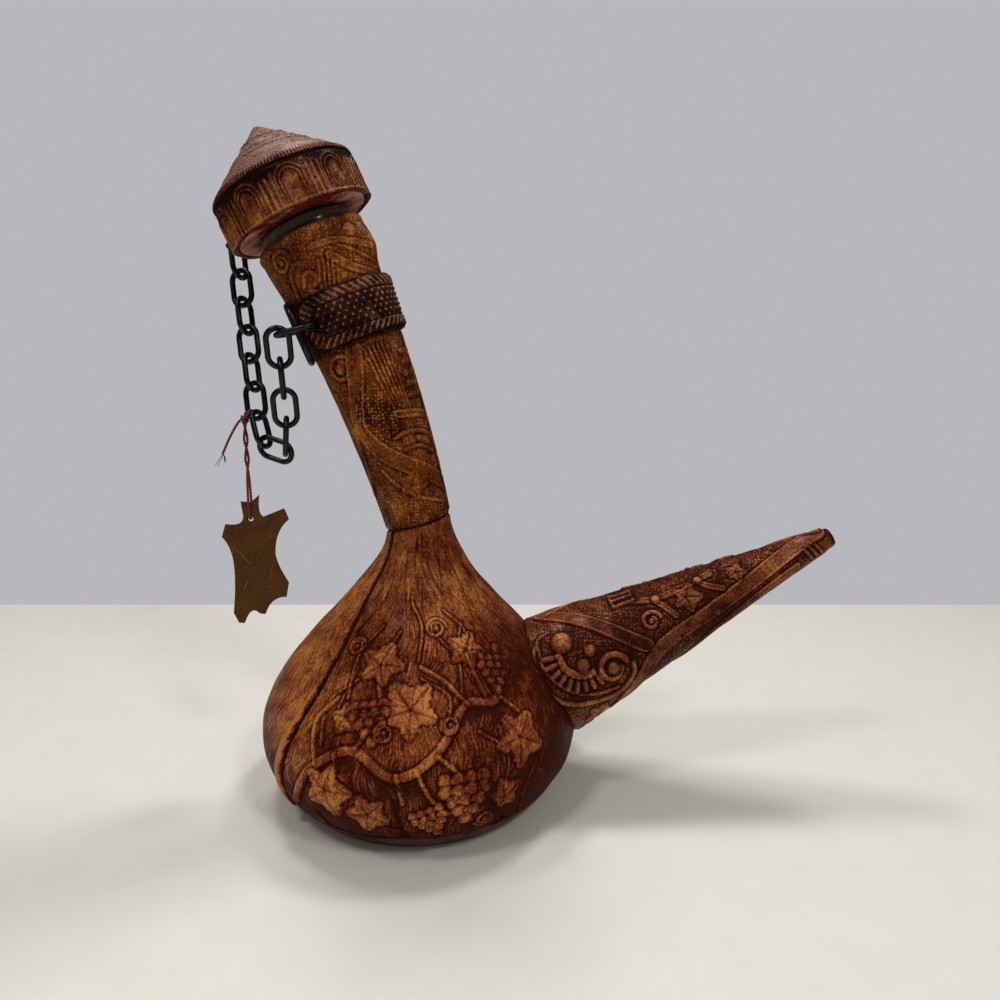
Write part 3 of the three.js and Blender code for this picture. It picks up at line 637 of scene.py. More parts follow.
def leather_group():
    """Antiqued leather: dye that stays dark in the recesses, rubbed pale and polished on the raised parts,
    over a fine pore grain, hair strokes and stippled dots"""
    group = bpy.data.node_groups.new("antiqued leather", "ShaderNodeTree")
    sockets(group, "INPUT", "Float", "Height", "Tone", "Stipple", "Hair", "Across", "Along")
    sockets(group, "INPUT", "Color", "Dark", "Middle", "Pale")
    sockets(group, "OUTPUT", "Color", "Colour")
    sockets(group, "OUTPUT", "Float", "Roughness", "Polish", "Relief")
    given = add(group, "NodeGroupInput").outputs
    place = add(group, "ShaderNodeTexCoord").outputs["Object"]
    blotch = calc(group, "SUBTRACT", noise(group, place, 38, 5), 0.5)
    cloud = calc(group, "SUBTRACT", noise(group, place, 170, 4), 0.5)
    speck = calc(group, "SUBTRACT", noise(group, place, 900, 4), 0.5)
    pores = add(group, "ShaderNodeTexVoronoi", {"Vector": place, "Scale": 1700}).outputs["Distance"]
    beads = {"Vector": place, "Scale": 780, "Randomness": 0.55}
    cells = add(group, "ShaderNodeTexVoronoi", beads).outputs["Distance"]
    bend = calc(group, "MULTIPLY", noise(group, place, 24, 2), 46.0)
    strand = add(group, "ShaderNodeCombineXYZ", {
        0: calc(group, "MULTIPLY", calc(group, "ADD", given["Across"], bend), 1.5),
        1: calc(group, "MULTIPLY", given["Along"], 0.14),
    }).outputs[0]
    strands = calc(group, "SUBTRACT", noise(group, strand, 1.0, 5), 0.5)
    bead = ramp(group, cells, 0.62, 0.2)
    dot = calc(group, "MULTIPLY", calc(group, "SUBTRACT", bead, 0.5), given["Stipple"])
    stroke = calc(group, "MULTIPLY", strands, given["Hair"])
    pit = calc(group, "SUBTRACT", pores, 0.42)
    wear = calc(group, "ADD", calc(group, "MULTIPLY", given["Height"], 0.3), given["Tone"])
    for part, gain in ((blotch, 3.2), (cloud, 2.4), (speck, 2.2), (stroke, 5.0), (dot, 1.7), (pit, -1.2)):
        wear = calc(group, "ADD", wear, calc(group, "MULTIPLY", part, gain))
    relief = calc(group, "MULTIPLY", pores, 0.3)
    for part, gain in ((stroke, 3.0), (dot, 2.4), (speck, 1.2)):
        relief = calc(group, "ADD", relief, calc(group, "MULTIPLY", part, gain))
    shade = mixed(group, ramp(group, wear, -1.1, 0.1), given["Dark"], given["Middle"])
    ends = add(group, "NodeGroupOutput", {
        "Colour": mixed(group, ramp(group, wear, 0.1, 1.3), shade, given["Pale"]),
        "Roughness": ramp(group, calc(group, "ADD", blotch, speck), -0.25, 0.25, 0.3, 0.52),
        "Polish": ramp(group, wear, -0.9, 0.9, 0.15, 1.25),
        "Relief": relief,
    })
    ends.is_active_output = True
    return group


antiqued = leather_group()


def leather(name, dark, middle, pale, coat=0.05, specular=0.11):
    """A leather finish from the screen values of its dye in the recesses, on the ground and where rubbed"""
    material, tree, shader, _ = finish_named(name)
    given = {"Dark": paint(*dark), "Middle": paint(*middle), "Pale": paint(*pale)}
    for layer in (*Hide.LAYERS, "across", "along"):
        given[layer.capitalize()] = add(tree, "ShaderNodeAttribute", attribute_name=layer).outputs["Fac"]
    worn = add(tree, "ShaderNodeGroup", given, node_tree=antiqued).outputs
    fill(tree, shader, {
        "Base Color": worn["Colour"],
        "Roughness": worn["Roughness"],
        "Normal": bump(tree, worn["Relief"], 0.7, 0.0004),
        "Specular IOR Level": calc(tree, "MULTIPLY", worn["Polish"], specular),
        "Coat Weight": calc(tree, "MULTIPLY", worn["Polish"], coat),
        "Coat Roughness": 0.22,
    })
    return material


body_leather = leather("body leather", (58, 19, 8), (122, 55, 22), (192, 119, 53))
base_seam = np.interp(BASE_SEAM_HEIGHT, body_outline[:, 1], body_run)
body_top = body_run[-1]
body_ups = np.linspace(base_seam + CLEARANCE, body_top, BODY_ROWS)


def seam_at(up):
    """Degrees of the side seam, which bows towards the front at half height"""
    share = (up - body_ups[0]) / (body_ups[-1] - body_ups[0])
    return SIDE_SEAM - SEAM_SWAY + 2 * SEAM_SWAY * np.sin(math.pi * share) ** 2


def body_hide(back):
    """Half of the body's leather, from the side seam round to the opposite seam"""
    across, up = np.meshgrid(np.linspace(0, 1, BODY_COLUMNS), body_ups)
    first, last = seam_at(up) + SEAM_GAP, SIDE_SEAM + 180 - SEAM_GAP
    if back:
        first, last = SIDE_SEAM + 180 + SEAM_GAP, seam_at(up) + 360 - SEAM_GAP
    return Hide(on_body, first + across * (last - first), up)


def dress_body(hide, turn):
    """Hair-stroke ground, paler towards the neck, with painted shade towards the base; a vine with leaves,
    grapes and tendrils
    """

    def at(*places):
        return through([(turn + degrees, up) for degrees, up in places], BODY_STEP)

    hide.hair += 1
    hide.height += 0.3 * wander(hide.points, 26, 1.3 + turn)
    hide.tone += 0.35 * wander(hide.points, 34, 0.4 + turn)
    hide.tone += 0.35 * smooth(hide.along, body_top - 50, body_top - 12)
    # Painted shade: darker over the lowest 48 mm up from the base seam, where less light reaches the lower
    # body
    hide.tone -= 1.1 * (1 - smooth(hide.along, base_seam, base_seam + 48))
    for k in range(RAYS):
        ray = -136 + k * 11.3 + 5 * math.sin(5.1 * k)
        length = 34 + 12 * math.sin(4.1 * k)
        start = (ray, body_top - 8 - 5 * math.sin(k))
        middle = (ray + 4 * math.sin(k), body_top - length * 0.6)
        hide.groove(at(start, middle, (ray + 9 * math.sin(2.3 * k), body_top - length)), 0.4, 0.2, -0.7)
    for degrees, up, sweep, length in STROKES:
        middle = (degrees + 0.7 * sweep, up - 0.4 * length)
        line = at((degrees, up), middle, (degrees + 0.5 * sweep, up - length))
        hide.cord(line, 0.5, 0.45, 0.5)
        hide.groove(line + (1.4, 0), 0.35, 0.2, -0.6)
    stem = at(*STEM)
    hide.cord(stem, VINE_HALF_WIDTH, VINE_HEIGHT, 0.55)
    hide.groove(stem - (0, 2 * VINE_HALF_WIDTH), 1.5, 0.35, -0.9)
    for offset in (-0.6, 0.5):
        hide.groove(stem + (0, offset), 0.22, 0.25, -0.5)
    for twig in TWIGS:
        hide.cord(at(*twig), 0.9, 0.8, 0.5)
    for degrees, up, way, size in LEAVES:
        hide.leaf(turn + degrees, up, way, size, LEAF_HEIGHT, 0.85)
    for degrees, up, way, size in BUNCHES:
        hide.grapes(turn + degrees, up, way, size)
    for degrees, up, radius, start in TENDRILS:
        hide.volute(turn + degrees, up, radius, 1.6, start, 0.6, 0.7, 0.5)
    hide.roll_edge(hide.along - body_ups[0], 1.4, 0.8)
    hide.roll_edge(body_top - hide.along, 1.2, 0.6)


def body_degree(hide):
    """Millimetres round the body in one degree, at each point"""
    return math.radians(1) * np.interp(hide.along, body_run, body_outline[:, 0])


front = body_hide(back=False)
dress_body(front, 0)
# Painted shade: the front panel darkened on its right side, towards the spout, below the middle, turned away
# from the lamps
front.tone -= 0.95 * smooth(front.degrees, -74, -44) * (1 - smooth(front.along, 70, 104))
front.roll_edge((front.degrees - seam_at(front.along)) * body_degree(front), 1.9, 1.2, dark=2.4)
front.roll_edge((SIDE_SEAM + 180 - front.degrees) * body_degree(front), 1.5, 1.1, dark=2.2)
for azimuth, length, lean in DARTS:
    dart = [(azimuth - lean * share, base_seam + length * share) for share in (0, 0.5, 1)]
    front.groove(through(dart, BODY_STEP), 0.8, 0.9, -2.0)
sew("body-front-panel", front, body_leather, LEATHER, BACK_SKIP, wrap=False)

back = body_hide(back=True)
dress_body(back, 180)
to_seam = (seam_at(back.along) + 360 - back.degrees) * body_degree(back)
# Painted sheen: the back panel lightened near the side seam, above the base, for the broad soft sheen on the
# body's left side
back.tone += 0.3 * (1 - smooth(to_seam, 30, 60)) * smooth(back.along, base_seam + 8, base_seam + 40)
welt_width = WELT_WIDTH * (1 - 0.75 * smooth(back.along, base_seam, WELT_TOP))
welt = np.exp(-((to_seam - welt_width / 2 - 0.5) / (welt_width / 2)) ** 4)
welt *= 1 - smooth(back.along, WELT_TOP - 14, WELT_TOP)
back.height = back.height * (1 - welt) + WELT_HEIGHT * welt
back.tone = back.tone * (1 - welt) + 1.1 * welt
back.roll_edge(to_seam, 1.3, 1.0, dark=2.2)
back.roll_edge((back.degrees - SIDE_SEAM - 180) * body_degree(back), 1.5, 1.1, dark=2.0)
sew("body-back-panel", back, body_leather, LEATHER, BACK_SKIP, wrap=False)

# Base panel: a shallow cup of plain dark leather under the body, sewn round to both sides at the base seam
# and flat underneath.
base_leather = leather("base leather", (34, 14, 9), (72, 33, 21), (112, 64, 40))
foot_radius = body_outline[0, 0]
base_rows = np.concatenate([np.linspace(1 - foot_radius, -3, 20), np.linspace(-2.4, base_seam, 30)])


def on_base(azimuth, up):
    """Point of the base cup: below zero on the flat underside, above along the body's outline"""
    flat = foot_radius + np.minimum(up, 0)
    turn = np.radians(azimuth)
    side = on_body(azimuth, np.maximum(up, 0))
    under = np.stack([flat * np.cos(turn), flat * np.sin(turn), 0 * turn], -1)
    return np.where((up < 0)[..., None], under, side)


base = Hide(on_base, *np.meshgrid(np.arange(0, 360, 1.5), base_rows))
base.height += 0.1 * wander(base.points, 14, 2.2) * smooth(base.along, 2, 5)
base.roll_edge(base_seam - base.along, 1.2, 0.7)
base.hair += 0.3
sew("base-panel", base, base_leather, LEATHER, 1)

# Neck sleeve: a leather tube drawn over the leaning neck, tooled with strapwork, ribs, volutes and balls
# above and below the collar, orange-brown where it is rubbed. It swells a little on the right near the top.
COLLAR_MIDDLE = 86.0
COLLAR_WIDTH = 21.0
BULGE = 1.7
BULGE_PLACE = 109.0
BULGE_LENGTH = 6.0
BULGE_TURN = 40.0
ROLLED_LIP = 117.8
NECK_ROWS = 261
NECK_STEP = 1.2
NECK_RELIEF = 0.75
NECK_CONTRAST = 0.48

neck_leather = leather("neck leather", (46, 17, 3), (108, 50, 11), (182, 114, 38))
neck_ups = np.linspace(CLEARANCE, NECK_LENGTH, NECK_ROWS)
neck = Hide(on_neck, *np.meshgrid(np.arange(0, 360, 1.5), neck_ups))
neck.hair += 0.4
neck.stipple += 0.4
neck.height += 0.2 * wander(neck.points, 15, 4.0)
neck.height += (0.5 + 0.8 * wander(neck.points, 26, 2.0)) * smooth(neck.along, 100, 112)
neck.tone += 0.35 * wander(neck.points, 22, 3.1)


def along_neck(turn, *places):
    """A smooth path through places in degrees, all turned, and millimetres along the neck"""
    return through([(turn + degrees, up) for degrees, up in places], NECK_STEP)


# After the path of a cord or ribbon come half its width, its height and sometimes its tone
for turn in (0, 150):
    for k in range(0, 20, 5):
        neck.cord(along_neck(turn, (292 - k, 107), (286 - k, 101), (279 - k, 95)), 0.55, 0.4, 0.45)
    neck.ribbon(along_neck(turn, (290, 107), (312, 100), (354, 95)), 1.7, 0.7)
    neck.cord(along_neck(turn, (296, 111), (325, 104.5), (352, 101)), 0.6, 0.5)
    neck.cord(along_neck(turn, (249, 100), (256, 104), (264, 104), (268, 100.5), (262, 99.5)), 0.9, 0.8)
    neck.cord(along_neck(turn, (234, 97), (240, 106), (252, 109), (262, 107)), 0.8, 0.6)
    neck.volute(turn + 238, 112, 4.6, 1.4, 0, 0.7, 0.7)
    for degrees in (322, 341, 359):
        neck.ball(turn + degrees, 113.6, 2.6, 1.0, 0.55)
    neck.ribbon(along_neck(turn, (276, 112), (301, 111.5), (330, 108), (362, 106)), 1.2, 0.5)
    neck.volute(turn + 246, 68, 5.6, 1.2, 0, 0.9, 0.8, core=0.4)
    for k in range(6):
        rib = along_neck(turn, (284 + 6 * k, 72), (289 + 5.4 * k, 58), (296 + 4.6 * k, 46))
        neck.cord(rib, 0.6, 0.5, 0.55)
    neck.ribbon(along_neck(turn, (272, 73), (258, 61), (245, 52), (238, 44), (252, 35), (273, 28.5),
                           (310, 21), (360, 12.5)), 3.4, 0.8)
    neck.ribbon(along_neck(turn, (296, 45), (330, 43), (364, 41)), 1.7, 0.7)
    neck.cord(along_neck(turn, (283, 36.5), (305, 37.5), (341, 34.5), (364, 28)), 0.8, 0.7)
    neck.cord(along_neck(turn, (292, 31), (315, 31), (345, 27)), 0.7, 0.5)
    neck.ball(turn + 318, 33.8, 1.3, 0.6)
    for row in range(5):
        for k in range(3):
            degrees, up = 326 + 10 * k + 2 * row, 50 + 4.2 * row
            square = along_neck(turn, (degrees, up), (degrees + 5, up + 0.6))
            neck.cord(square, 1.1, 0.6, 0.2 - 0.5 * (k % 2))
    neck.cord(along_neck(turn, (247, 26), (262, 19), (290, 12), (330, 7)), 0.7, 0.5)
    neck.leaf(turn + 285, 17, 100, 6.5, 0.6, 0.5)
    neck.cord(along_neck(turn, (215, 60), (222, 44), (218, 28), (205, 16)), 0.9, 0.7)
    pit = neck.away(along_neck(turn, (268, 53), (258, 46), (276, 41), (286, 46)), 8.0)
    ground = (neck.height < 0.35) * smooth(8 - pit, 0, 4)
    neck.stipple = np.maximum(neck.stipple, ground)
    neck.tone -= 0.5 * ground
lip = ridge(neck.along - ROLLED_LIP + 0.5 * np.sin(np.radians(neck.degrees * 5)), 0.9)
neck.height += 0.5 * lip
neck.tone += 0.3 * lip
seam = through([(3 * math.sin(k), 3 + 6 * k) for k in range(20)], 2)
neck.cord(seam, 1.3, 0.7, 0.1)
neck.groove(seam, 0.4, 0.6)
neck.tone = NECK_CONTRAST * neck.tone + 0.2 - 0.25 * (1 - smooth(neck.along, 15, 60))
under_collar = smooth(COLLAR_WIDTH / 2 + 2 - np.abs(neck.along - COLLAR_MIDDLE), 0, 2.5)
neck.height *= NECK_RELIEF * (1 - under_collar)
from_right = (neck.degrees + 180) % 360 - 180
neck.height += BULGE * ridge(from_right, BULGE_TURN) * ridge(neck.along - BULGE_PLACE, BULGE_LENGTH)
# Painted shade: the neck darkened under the collar and just beyond its edges, where the strap shades it
neck.tone -= 0.7 * under_collar
neck.roll_edge(neck.along - CLEARANCE, 1.2, 0.5)
neck.roll_edge(NECK_LENGTH - neck.along, 0.8, 0.4)
sew("neck-sleeve", neck, neck_leather, LEATHER, BACK_SKIP)

# Spout sleeve: a tapering leather tube fitted to the body, tooled with ribbons, volutes, balls, leaves and a
# buckled strap on a stippled ground, with turned bands at the end. Both sides have the same ornament.
SPOUT_ROWS = 281
SPOUT_STEP = 1.2
BUCKLE_PLACE = 105
BUCKLE_HALF_WIDTH = 4.4

spout_leather = leather("spout leather", (50, 18, 8), (108, 50, 22), (172, 103, 45), coat=0.14)
spout_turn = np.arange(0, 360, 1.2)
low, high = np.full(spout_turn.shape, 45.0), np.full(spout_turn.shape, 110.0)
for _ in range(30):
    middle = (low + high) / 2
    spot = on_spout(spout_turn, middle)
    reach = np.interp(spot[:, 2], body_outline[:, 1], body_outline[:, 0]) + CLEARANCE
    inside = np.hypot(spot[:, 0], spot[:, 1]) < reach
    low, high = np.where(inside, middle, low), np.where(inside, high, middle)
share = np.linspace(0, 1, SPOUT_ROWS)[:, None]
spout_turns = np.broadcast_to(spout_turn, (SPOUT_ROWS, len(spout_turn)))
spout = Hide(on_spout, spout_turns, low + share * (SPOUT_REACH - low))
from_root = spout.along - low
spout.stipple += 0.65
spout.height += 0.12 * wander(spout.points, 12, 6.0)
spout.tone += 0.2 * wander(spout.points, 26, 5.0) - 0.2


def along_spout(side, *places):
    """A smooth path through places in degrees towards one side and millimetres along the spout"""
    return through([(side * degrees, out) for degrees, out in places], SPOUT_STEP)


for side in (1, -1):
    spout.ribbon(along_spout(side, (0, 71), (25, 84.5), (52, 95), (88, 106)), 3.0, 0.9)
    spout.ribbon(along_spout(side, (160, 82), (128, 97), (100, 112), (92, 136), (78, 158), (50, 177),
                             (18, 190)), 3.2, 0.9, ground=0.15)
    spout.ribbon(along_spout(side, (172, 112), (140, 128), (122, 150), (108, 176)), 1.4, 0.6)
    spout.cord(along_spout(side, (38, 66), (50, 62.5), (72, 61), (98, 66), (116, 77), (124, 88),
                           (112, 96), (98, 98)), 1.1, 1.0, 0.6)
    spout.cord(along_spout(side, (30, 72), (34, 67), (48, 65.5), (66, 65), (90, 70), (108, 79),
                           (116, 88)), 0.7, 0.8, 0.5)
    ribs = np.linspace(-102, 22, 10)
    spout.fan(side * 62, 81, (10.4, 15.0), ribs if side > 0 else 180 - ribs, 1.15, 1.1, 0.7)
    spout.cord(along_spout(side, (56, 72.3), (68, 72.3), (78, 74.6), (84, 78.7), (84.5, 81.8)),
               1.5, 1.5, 0.75)
    spout.ball(side * 46, 75.5, 4.6, 2.6, 0.55)
    spout.ball(side * 64, 84.5, 2.5, 1.6, 0.6)
    spout.ball(side * 75, 79.5, 2.8, 1.6, 0.6)
    spout.volute(side * 92, 89.5, 6.4, side * 0.95, 150 - 60 * side, 1.25, 1.4, 0.6, core=0.42)
    spout.ribbon(along_spout(side, (28, 108), (38, 118), (36, 130), (30, 142)), 1.5, 0.8, ground=0.1)
    spout.ribbon(along_spout(side, (40, 117), (54, 119.5), (72, 122)), 1.3, 0.8, ground=0.1)
    spout.ribbon(along_spout(side, (34, 136), (50, 139), (66, 144)), 1.3, 0.8, ground=0.1)
    spout.volute(side * 64, 112, 4.2, side * 1.1, 90, 0.9, 0.9, 0.5)
    spout.leaf(side * 138, 75, 40, 7.0, 0.8, 0.7)
    spout.leaf(side * 160, 68, -20, 6.0, 0.7, 0.7)
    spout.leaf(side * 54, 129, 20 * side, 6.8, 0.9, 0.7)
    spout.leaf(side * 30, 151, -25 * side, 5.6, 0.8, 0.6)
    spout.leaf(side * 48, 152, 20 * side, 4.6, 0.8, 0.6)
    spout.ball(side * 39, 117.5, 2.0, 1.2, 0.5)
    spout.ball(side * 34, 136.5, 1.8, 1.1, 0.5)
near_edge, far_edge = BUCKLE_PLACE - BUCKLE_HALF_WIDTH, BUCKLE_PLACE + BUCKLE_HALF_WIDTH
for out in (near_edge, far_edge):
    spout.cord(along_spout(1, (8, out), (18, out), (28, out)), 0.7, 1.0, 0.7)
for degrees in (8, 18, 28):
    spout.cord(along_spout(1, (degrees, near_edge), (degrees, far_edge)), 0.7, 1.0, 0.7)
for out in (181.5, 184.0, 186.5):
    spout.cord(along_spout(1, (70, out), (95, out + 1), (120, out + 1.6)), 0.7, 0.35, 0.4)
under_seam = along_spout(1, *[(180 + 2.5 * math.sin(2.2 * k), 64 + 6 * k) for k in range(22)])
spout.cord(under_seam, 1.5, 0.6, 0.2)
spout.groove(under_seam, 0.4, 0.7)
under = smooth(np.abs((spout.degrees + 180) % 360 - 180), 98, 128)
spout.tone += 0.75 * (1 - smooth(from_root, 10, 26)) * under
spout.tone -= 0.35 * smooth(spout.along, 96, 106) * (1 - smooth(spout.along, 150, 172))
spout.tone -= 0.9 * smooth(spout.along, SPOUT_REACH - 3, SPOUT_REACH)
spout.stipple *= smooth(from_root, 1, 4) * (1 - smooth(spout.along, 176, 182))
spout.roll_edge(from_root, 1.5, 0.6)
spout.roll_edge(SPOUT_REACH - spout.along, 1.2, 0.3)
sew("spout-sleeve", spout, spout_leather, SPOUT_LEATHER, BACK_SKIP)

# Collar strap: dark leather round the neck, with rope-hatched borders and staggered rows of small pale dots.
# It ends plainly behind and, in front, in a loose rounded tab with a punched hole for the chain.
COLLAR_WRAP = 255.0
TAB_AZIMUTH = 270.0
TAB_LENGTH = 14.0
TAB_ROUNDING = 7.0
TAB_HOLE_INSET = 5.0
TAB_HOLE = 4.4
PUNCH_REACH = 4
BORDER_WIDTH = 4.6
ROPE_PITCH = 2.9
DOT_PITCH = 3.1
DOT_ROWS = 5
COLLAR_SKIP = 5

collar_leather = leather("collar leather", (17, 5, 2), (54, 22, 12), (156, 100, 58), coat=0.1)
collar_tilt, collar_x, collar_z = neck_axis(COLLAR_MIDDLE)
collar_centre = np.array([collar_x, 0, collar_z])


def leaned(points, tilt, centre):
    """Points that were drawn upright, leaned over and moved to a centre"""
    x, y, z = np.moveaxis(points, -1, 0)
    turned = [x * math.cos(tilt) - z * math.sin(tilt), y, x * math.sin(tilt) + z * math.cos(tilt)]
    return np.stack(turned, -1) + centre


def collar_radius(height):
    return neck_radius(COLLAR_MIDDLE + height) + CLEARANCE + LEATHER


def on_collar(length, height):
    """Point on the strap, by millimetres from the tab's end and above its middle line"""
    radius = collar_radius(height)
    turn = np.radians(TAB_AZIMUTH) + np.maximum(length - TAB_LENGTH, 0) / collar_radius(0)
    x = radius * np.cos(turn) + np.minimum(length - TAB_LENGTH, 0)
    return leaned(np.stack([x, radius * np.sin(turn), height], -1), collar_tilt, collar_centre)


def comb(value):
    """A zigzag with a period of 1, from 1 at whole numbers to 0 half way"""
    return np.abs(value % 1 - 0.5) * 2


def baked(piece):
    """Mesh of a piece with its modifiers worked in"""
    return bpy.data.meshes.new_from_object(piece.evaluated_get(bpy.context.evaluated_depsgraph_get()))


collar_length = TAB_LENGTH + math.radians(COLLAR_WRAP) * collar_radius(0)
collar_lengths = np.concatenate([np.linspace(0.06, 4, 16)[:-1], np.linspace(4, collar_length, 296)])
collar_lengths = collar_lengths[: (len(collar_lengths) - 1) // COLLAR_SKIP * COLLAR_SKIP + 1]
lengths, shares = np.meshgrid(collar_lengths, np.linspace(-1, 1, 71))
half_width = COLLAR_WIDTH / 2
round_end = rounded(np.minimum(lengths, TAB_ROUNDING), TAB_ROUNDING)
heights = shares * half_width * round_end
collar = Hide(on_collar, lengths, heights)
end_in = TAB_ROUNDING - np.hypot(TAB_ROUNDING - lengths, heights * TAB_ROUNDING / half_width)
edge_in = half_width * round_end - np.abs(heights)
edge_in = np.where(lengths < TAB_ROUNDING, np.minimum(edge_in, end_in), edge_in)
hatch = comb((lengths + np.abs(heights) * 0.9) / ROPE_PITCH)
in_border = smooth(edge_in, 0.7, 1.1) * (1 - smooth(edge_in, BORDER_WIDTH - 0.5, BORDER_WIDTH))
rope = in_border * smooth(hatch, 0.45, 0.95)
collar.height += 0.55 * rope - 0.45 * ridge(edge_in - BORDER_WIDTH - 0.2, 0.4)
collar.tone += 0.95 * rope - 0.3 + 0.25 * in_border
row_pitch = (COLLAR_WIDTH - 2 * BORDER_WIDTH - 1.6) / DOT_ROWS
rows = (heights + half_width) / row_pitch
columns = lengths / DOT_PITCH + 0.5 * (np.floor(rows) % 2)
from_dot = np.hypot((columns % 1 - 0.5) * DOT_PITCH, (rows % 1 - 0.5) * row_pitch)
in_field = smooth(edge_in, BORDER_WIDTH + 0.2, BORDER_WIDTH + 0.7)
dots = in_field * (1 - smooth(from_dot, 0.25, 0.7))
collar.height += 0.5 * dots
collar.tone += 1.3 * dots
collar.roll_edge(edge_in, 0.9, 0.45)
points, faces, layers = shell(collar, LEATHER, COLLAR_SKIP, wrap=False)
strap = mesh_piece("collar-strap", points, faces, collar_leather, layers)
hole_turn = np.radians(np.arange(0, 360, 12))
hole_rim = TAB_HOLE / 2 * np.stack([np.cos(hole_turn), 0 * hole_turn, np.sin(hole_turn)], 1)
hole_rim += (TAB_HOLE_INSET - TAB_LENGTH, -collar_radius(0) + LEATHER / 2, 0)
hole_points = np.vstack([hole_rim + (0, depth, 0) for depth in (PUNCH_REACH, -PUNCH_REACH)])
hole_faces = loop_faces(2, len(hole_turn), capped=True)
punch = mesh_piece("hole-punch", leaned(hole_points, collar_tilt, collar_centre), hole_faces, collar_leather)
cut = strap.modifiers.new("punched hole", "BOOLEAN")
cut.object = punch
cut.solver = "EXACT"
strap.data = baked(strap)
strap.modifiers.clear()
bpy.data.objects.remove(punch)
put(strap, "collar_strap")

# Chain: oval links of glossy black plastic, one through the collar's tab, twelve in a low bend from the cap's
# eye, and a larger oval ring that hangs in the collar link. Each is moulded in one, its wire round.
LINK_LENGTH = 16.8
LINK_WIDTH = 10.6
LINK_WIRE = 2.2
RING_LENGTH = 24.8
RING_WIDTH = 15.0
RING_WIRE = 2.6
OVAL_STEPS = 64
WIRE_STEPS = 20

black_plastic, tree, shader, place = finish_named("black plastic")
scuffs = noise(tree, place, 260)
fill(tree, shader, {
    "Base Color": mixed(tree, ramp(tree, scuffs, 0.5, 0.85), paint(4, 4, 5), paint(12, 12, 12)),
    "Roughness": ramp(tree, scuffs, 0.3, 0.75, 0.26, 0.42),
    "Specular IOR Level": 0.32,
    "Normal": bump(tree, noise(tree, place, 240), 0.05, 0.0006),
})


def link_tree():
    """Oval links on points, turned by the points' along and across directions"""
    tree = bpy.data.node_groups.new("oval links", "GeometryNodeTree")
    sockets(tree, "INPUT", "Geometry", "Geometry")
    sockets(tree, "INPUT", "Float", "Length", "Width", "Wire")
    sockets(tree, "INPUT", "Material", "Finish")
    sockets(tree, "OUTPUT", "Geometry", "Geometry")
    given = add(tree, "NodeGroupInput").outputs

    def made(kind, inputs, **settings):
        return add(tree, kind, inputs, **settings).outputs[0]

    def half(first, second):
        return calc(tree, "MULTIPLY", calc(tree, "SUBTRACT", first, second), 0.5)

    end_radius = half(given["Width"], given["Wire"])
    circle = made("GeometryNodeCurvePrimitiveCircle", {"Resolution": OVAL_STEPS, "Radius": end_radius})
    spot = add(tree, "ShaderNodeSeparateXYZ", {0: made("GeometryNodeInputPosition", {})}).outputs
    way = calc(tree, "SIGN", spot["Y"])
    shift = calc(tree, "MULTIPLY", way, half(given["Length"], given["Width"]))
    offset = made("ShaderNodeCombineXYZ", {"Y": shift})
    oval = made("GeometryNodeSetPosition", {"Geometry": circle, "Offset": offset})
    wire_radius = calc(tree, "MULTIPLY", given["Wire"], 0.5)
    wire = made("GeometryNodeCurvePrimitiveCircle", {"Resolution": WIRE_STEPS, "Radius": wire_radius})
    link = made("GeometryNodeCurveToMesh", {"Curve": oval, "Profile Curve": wire})
    along, across = [made("GeometryNodeInputNamedAttribute", {"Name": name}, data_type="FLOAT_VECTOR")
                     for name in ("along", "across")]
    turn = made("FunctionNodeAxesToRotation", {0: along, 1: across}, primary_axis="Y", secondary_axis="X")
    dots = made("GeometryNodeMeshToPoints", {"Mesh": given["Geometry"]})
    placed = made("GeometryNodeInstanceOnPoints", {"Points": dots, "Instance": link, "Rotation": turn})
    real = made("GeometryNodeRealizeInstances", {"Geometry": placed})
    even = made("GeometryNodeSetShadeSmooth", {"Geometry": real})
    done = made("GeometryNodeSetMaterial", {"Geometry": even, "Material": given["Finish"]})
    add(tree, "NodeGroupOutput", {"Geometry": done})
    return tree


oval_links = link_tree()


def link_axes(node):
    """Middle, length direction and width direction of a CAD link, from the spread of its points"""
    spots = np.array([vertex.co for vertex in frame["nodes"][node].data.vertices])
    _, _, axes = np.linalg.svd(spots - spots.mean(axis=0), full_matrices=False)
    return (spots.max(axis=0) + spots.min(axis=0)) / 2, axes[0], axes[1]


def links(name, nodes, length, width, wire):
    """Links of one size and one body, in place of CAD nodes"""
    middles, along, across = zip(*[link_axes(node) for node in nodes])
    seats = bpy.data.meshes.new(name)
    seats.from_pydata([middle.tolist() for middle in middles], [], [])
    for key, ways in (("along", along), ("across", across)):
        store = seats.attributes.new(key, "FLOAT_VECTOR", "POINT")
        store.data.foreach_set("vector", np.array(ways, np.float32).ravel())
    piece = bpy.data.objects.new(name, seats)
    scene.collection.objects.link(piece)
    grown = piece.modifiers.new("links", "NODES")
    grown.node_group = oval_links
    sizes = {"Length": length * MM, "Width": width * MM, "Wire": wire * MM, "Finish": black_plastic}
    for socket in oval_links.interface.items_tree:
        if socket.in_out == "INPUT" and socket.name in sizes:
            grown[socket.identifier] = sizes[socket.name]
    piece.data = baked(piece)
    piece.modifiers.clear()
    put(piece, *nodes)


links("collar-link", ["collar_link"], LINK_LENGTH, LINK_WIDTH, LINK_WIRE)
links("collar-ring", ["collar_ring"], RING_LENGTH, RING_WIDTH, RING_WIRE)
for body, members in frame["record"]["behaviour"]["bodies"].items():
    chain = [node for node in members if node.startswith("chain_link")]
    if chain:
        links("chain-" + body, chain, LINK_LENGTH, LINK_WIDTH, LINK_WIRE)

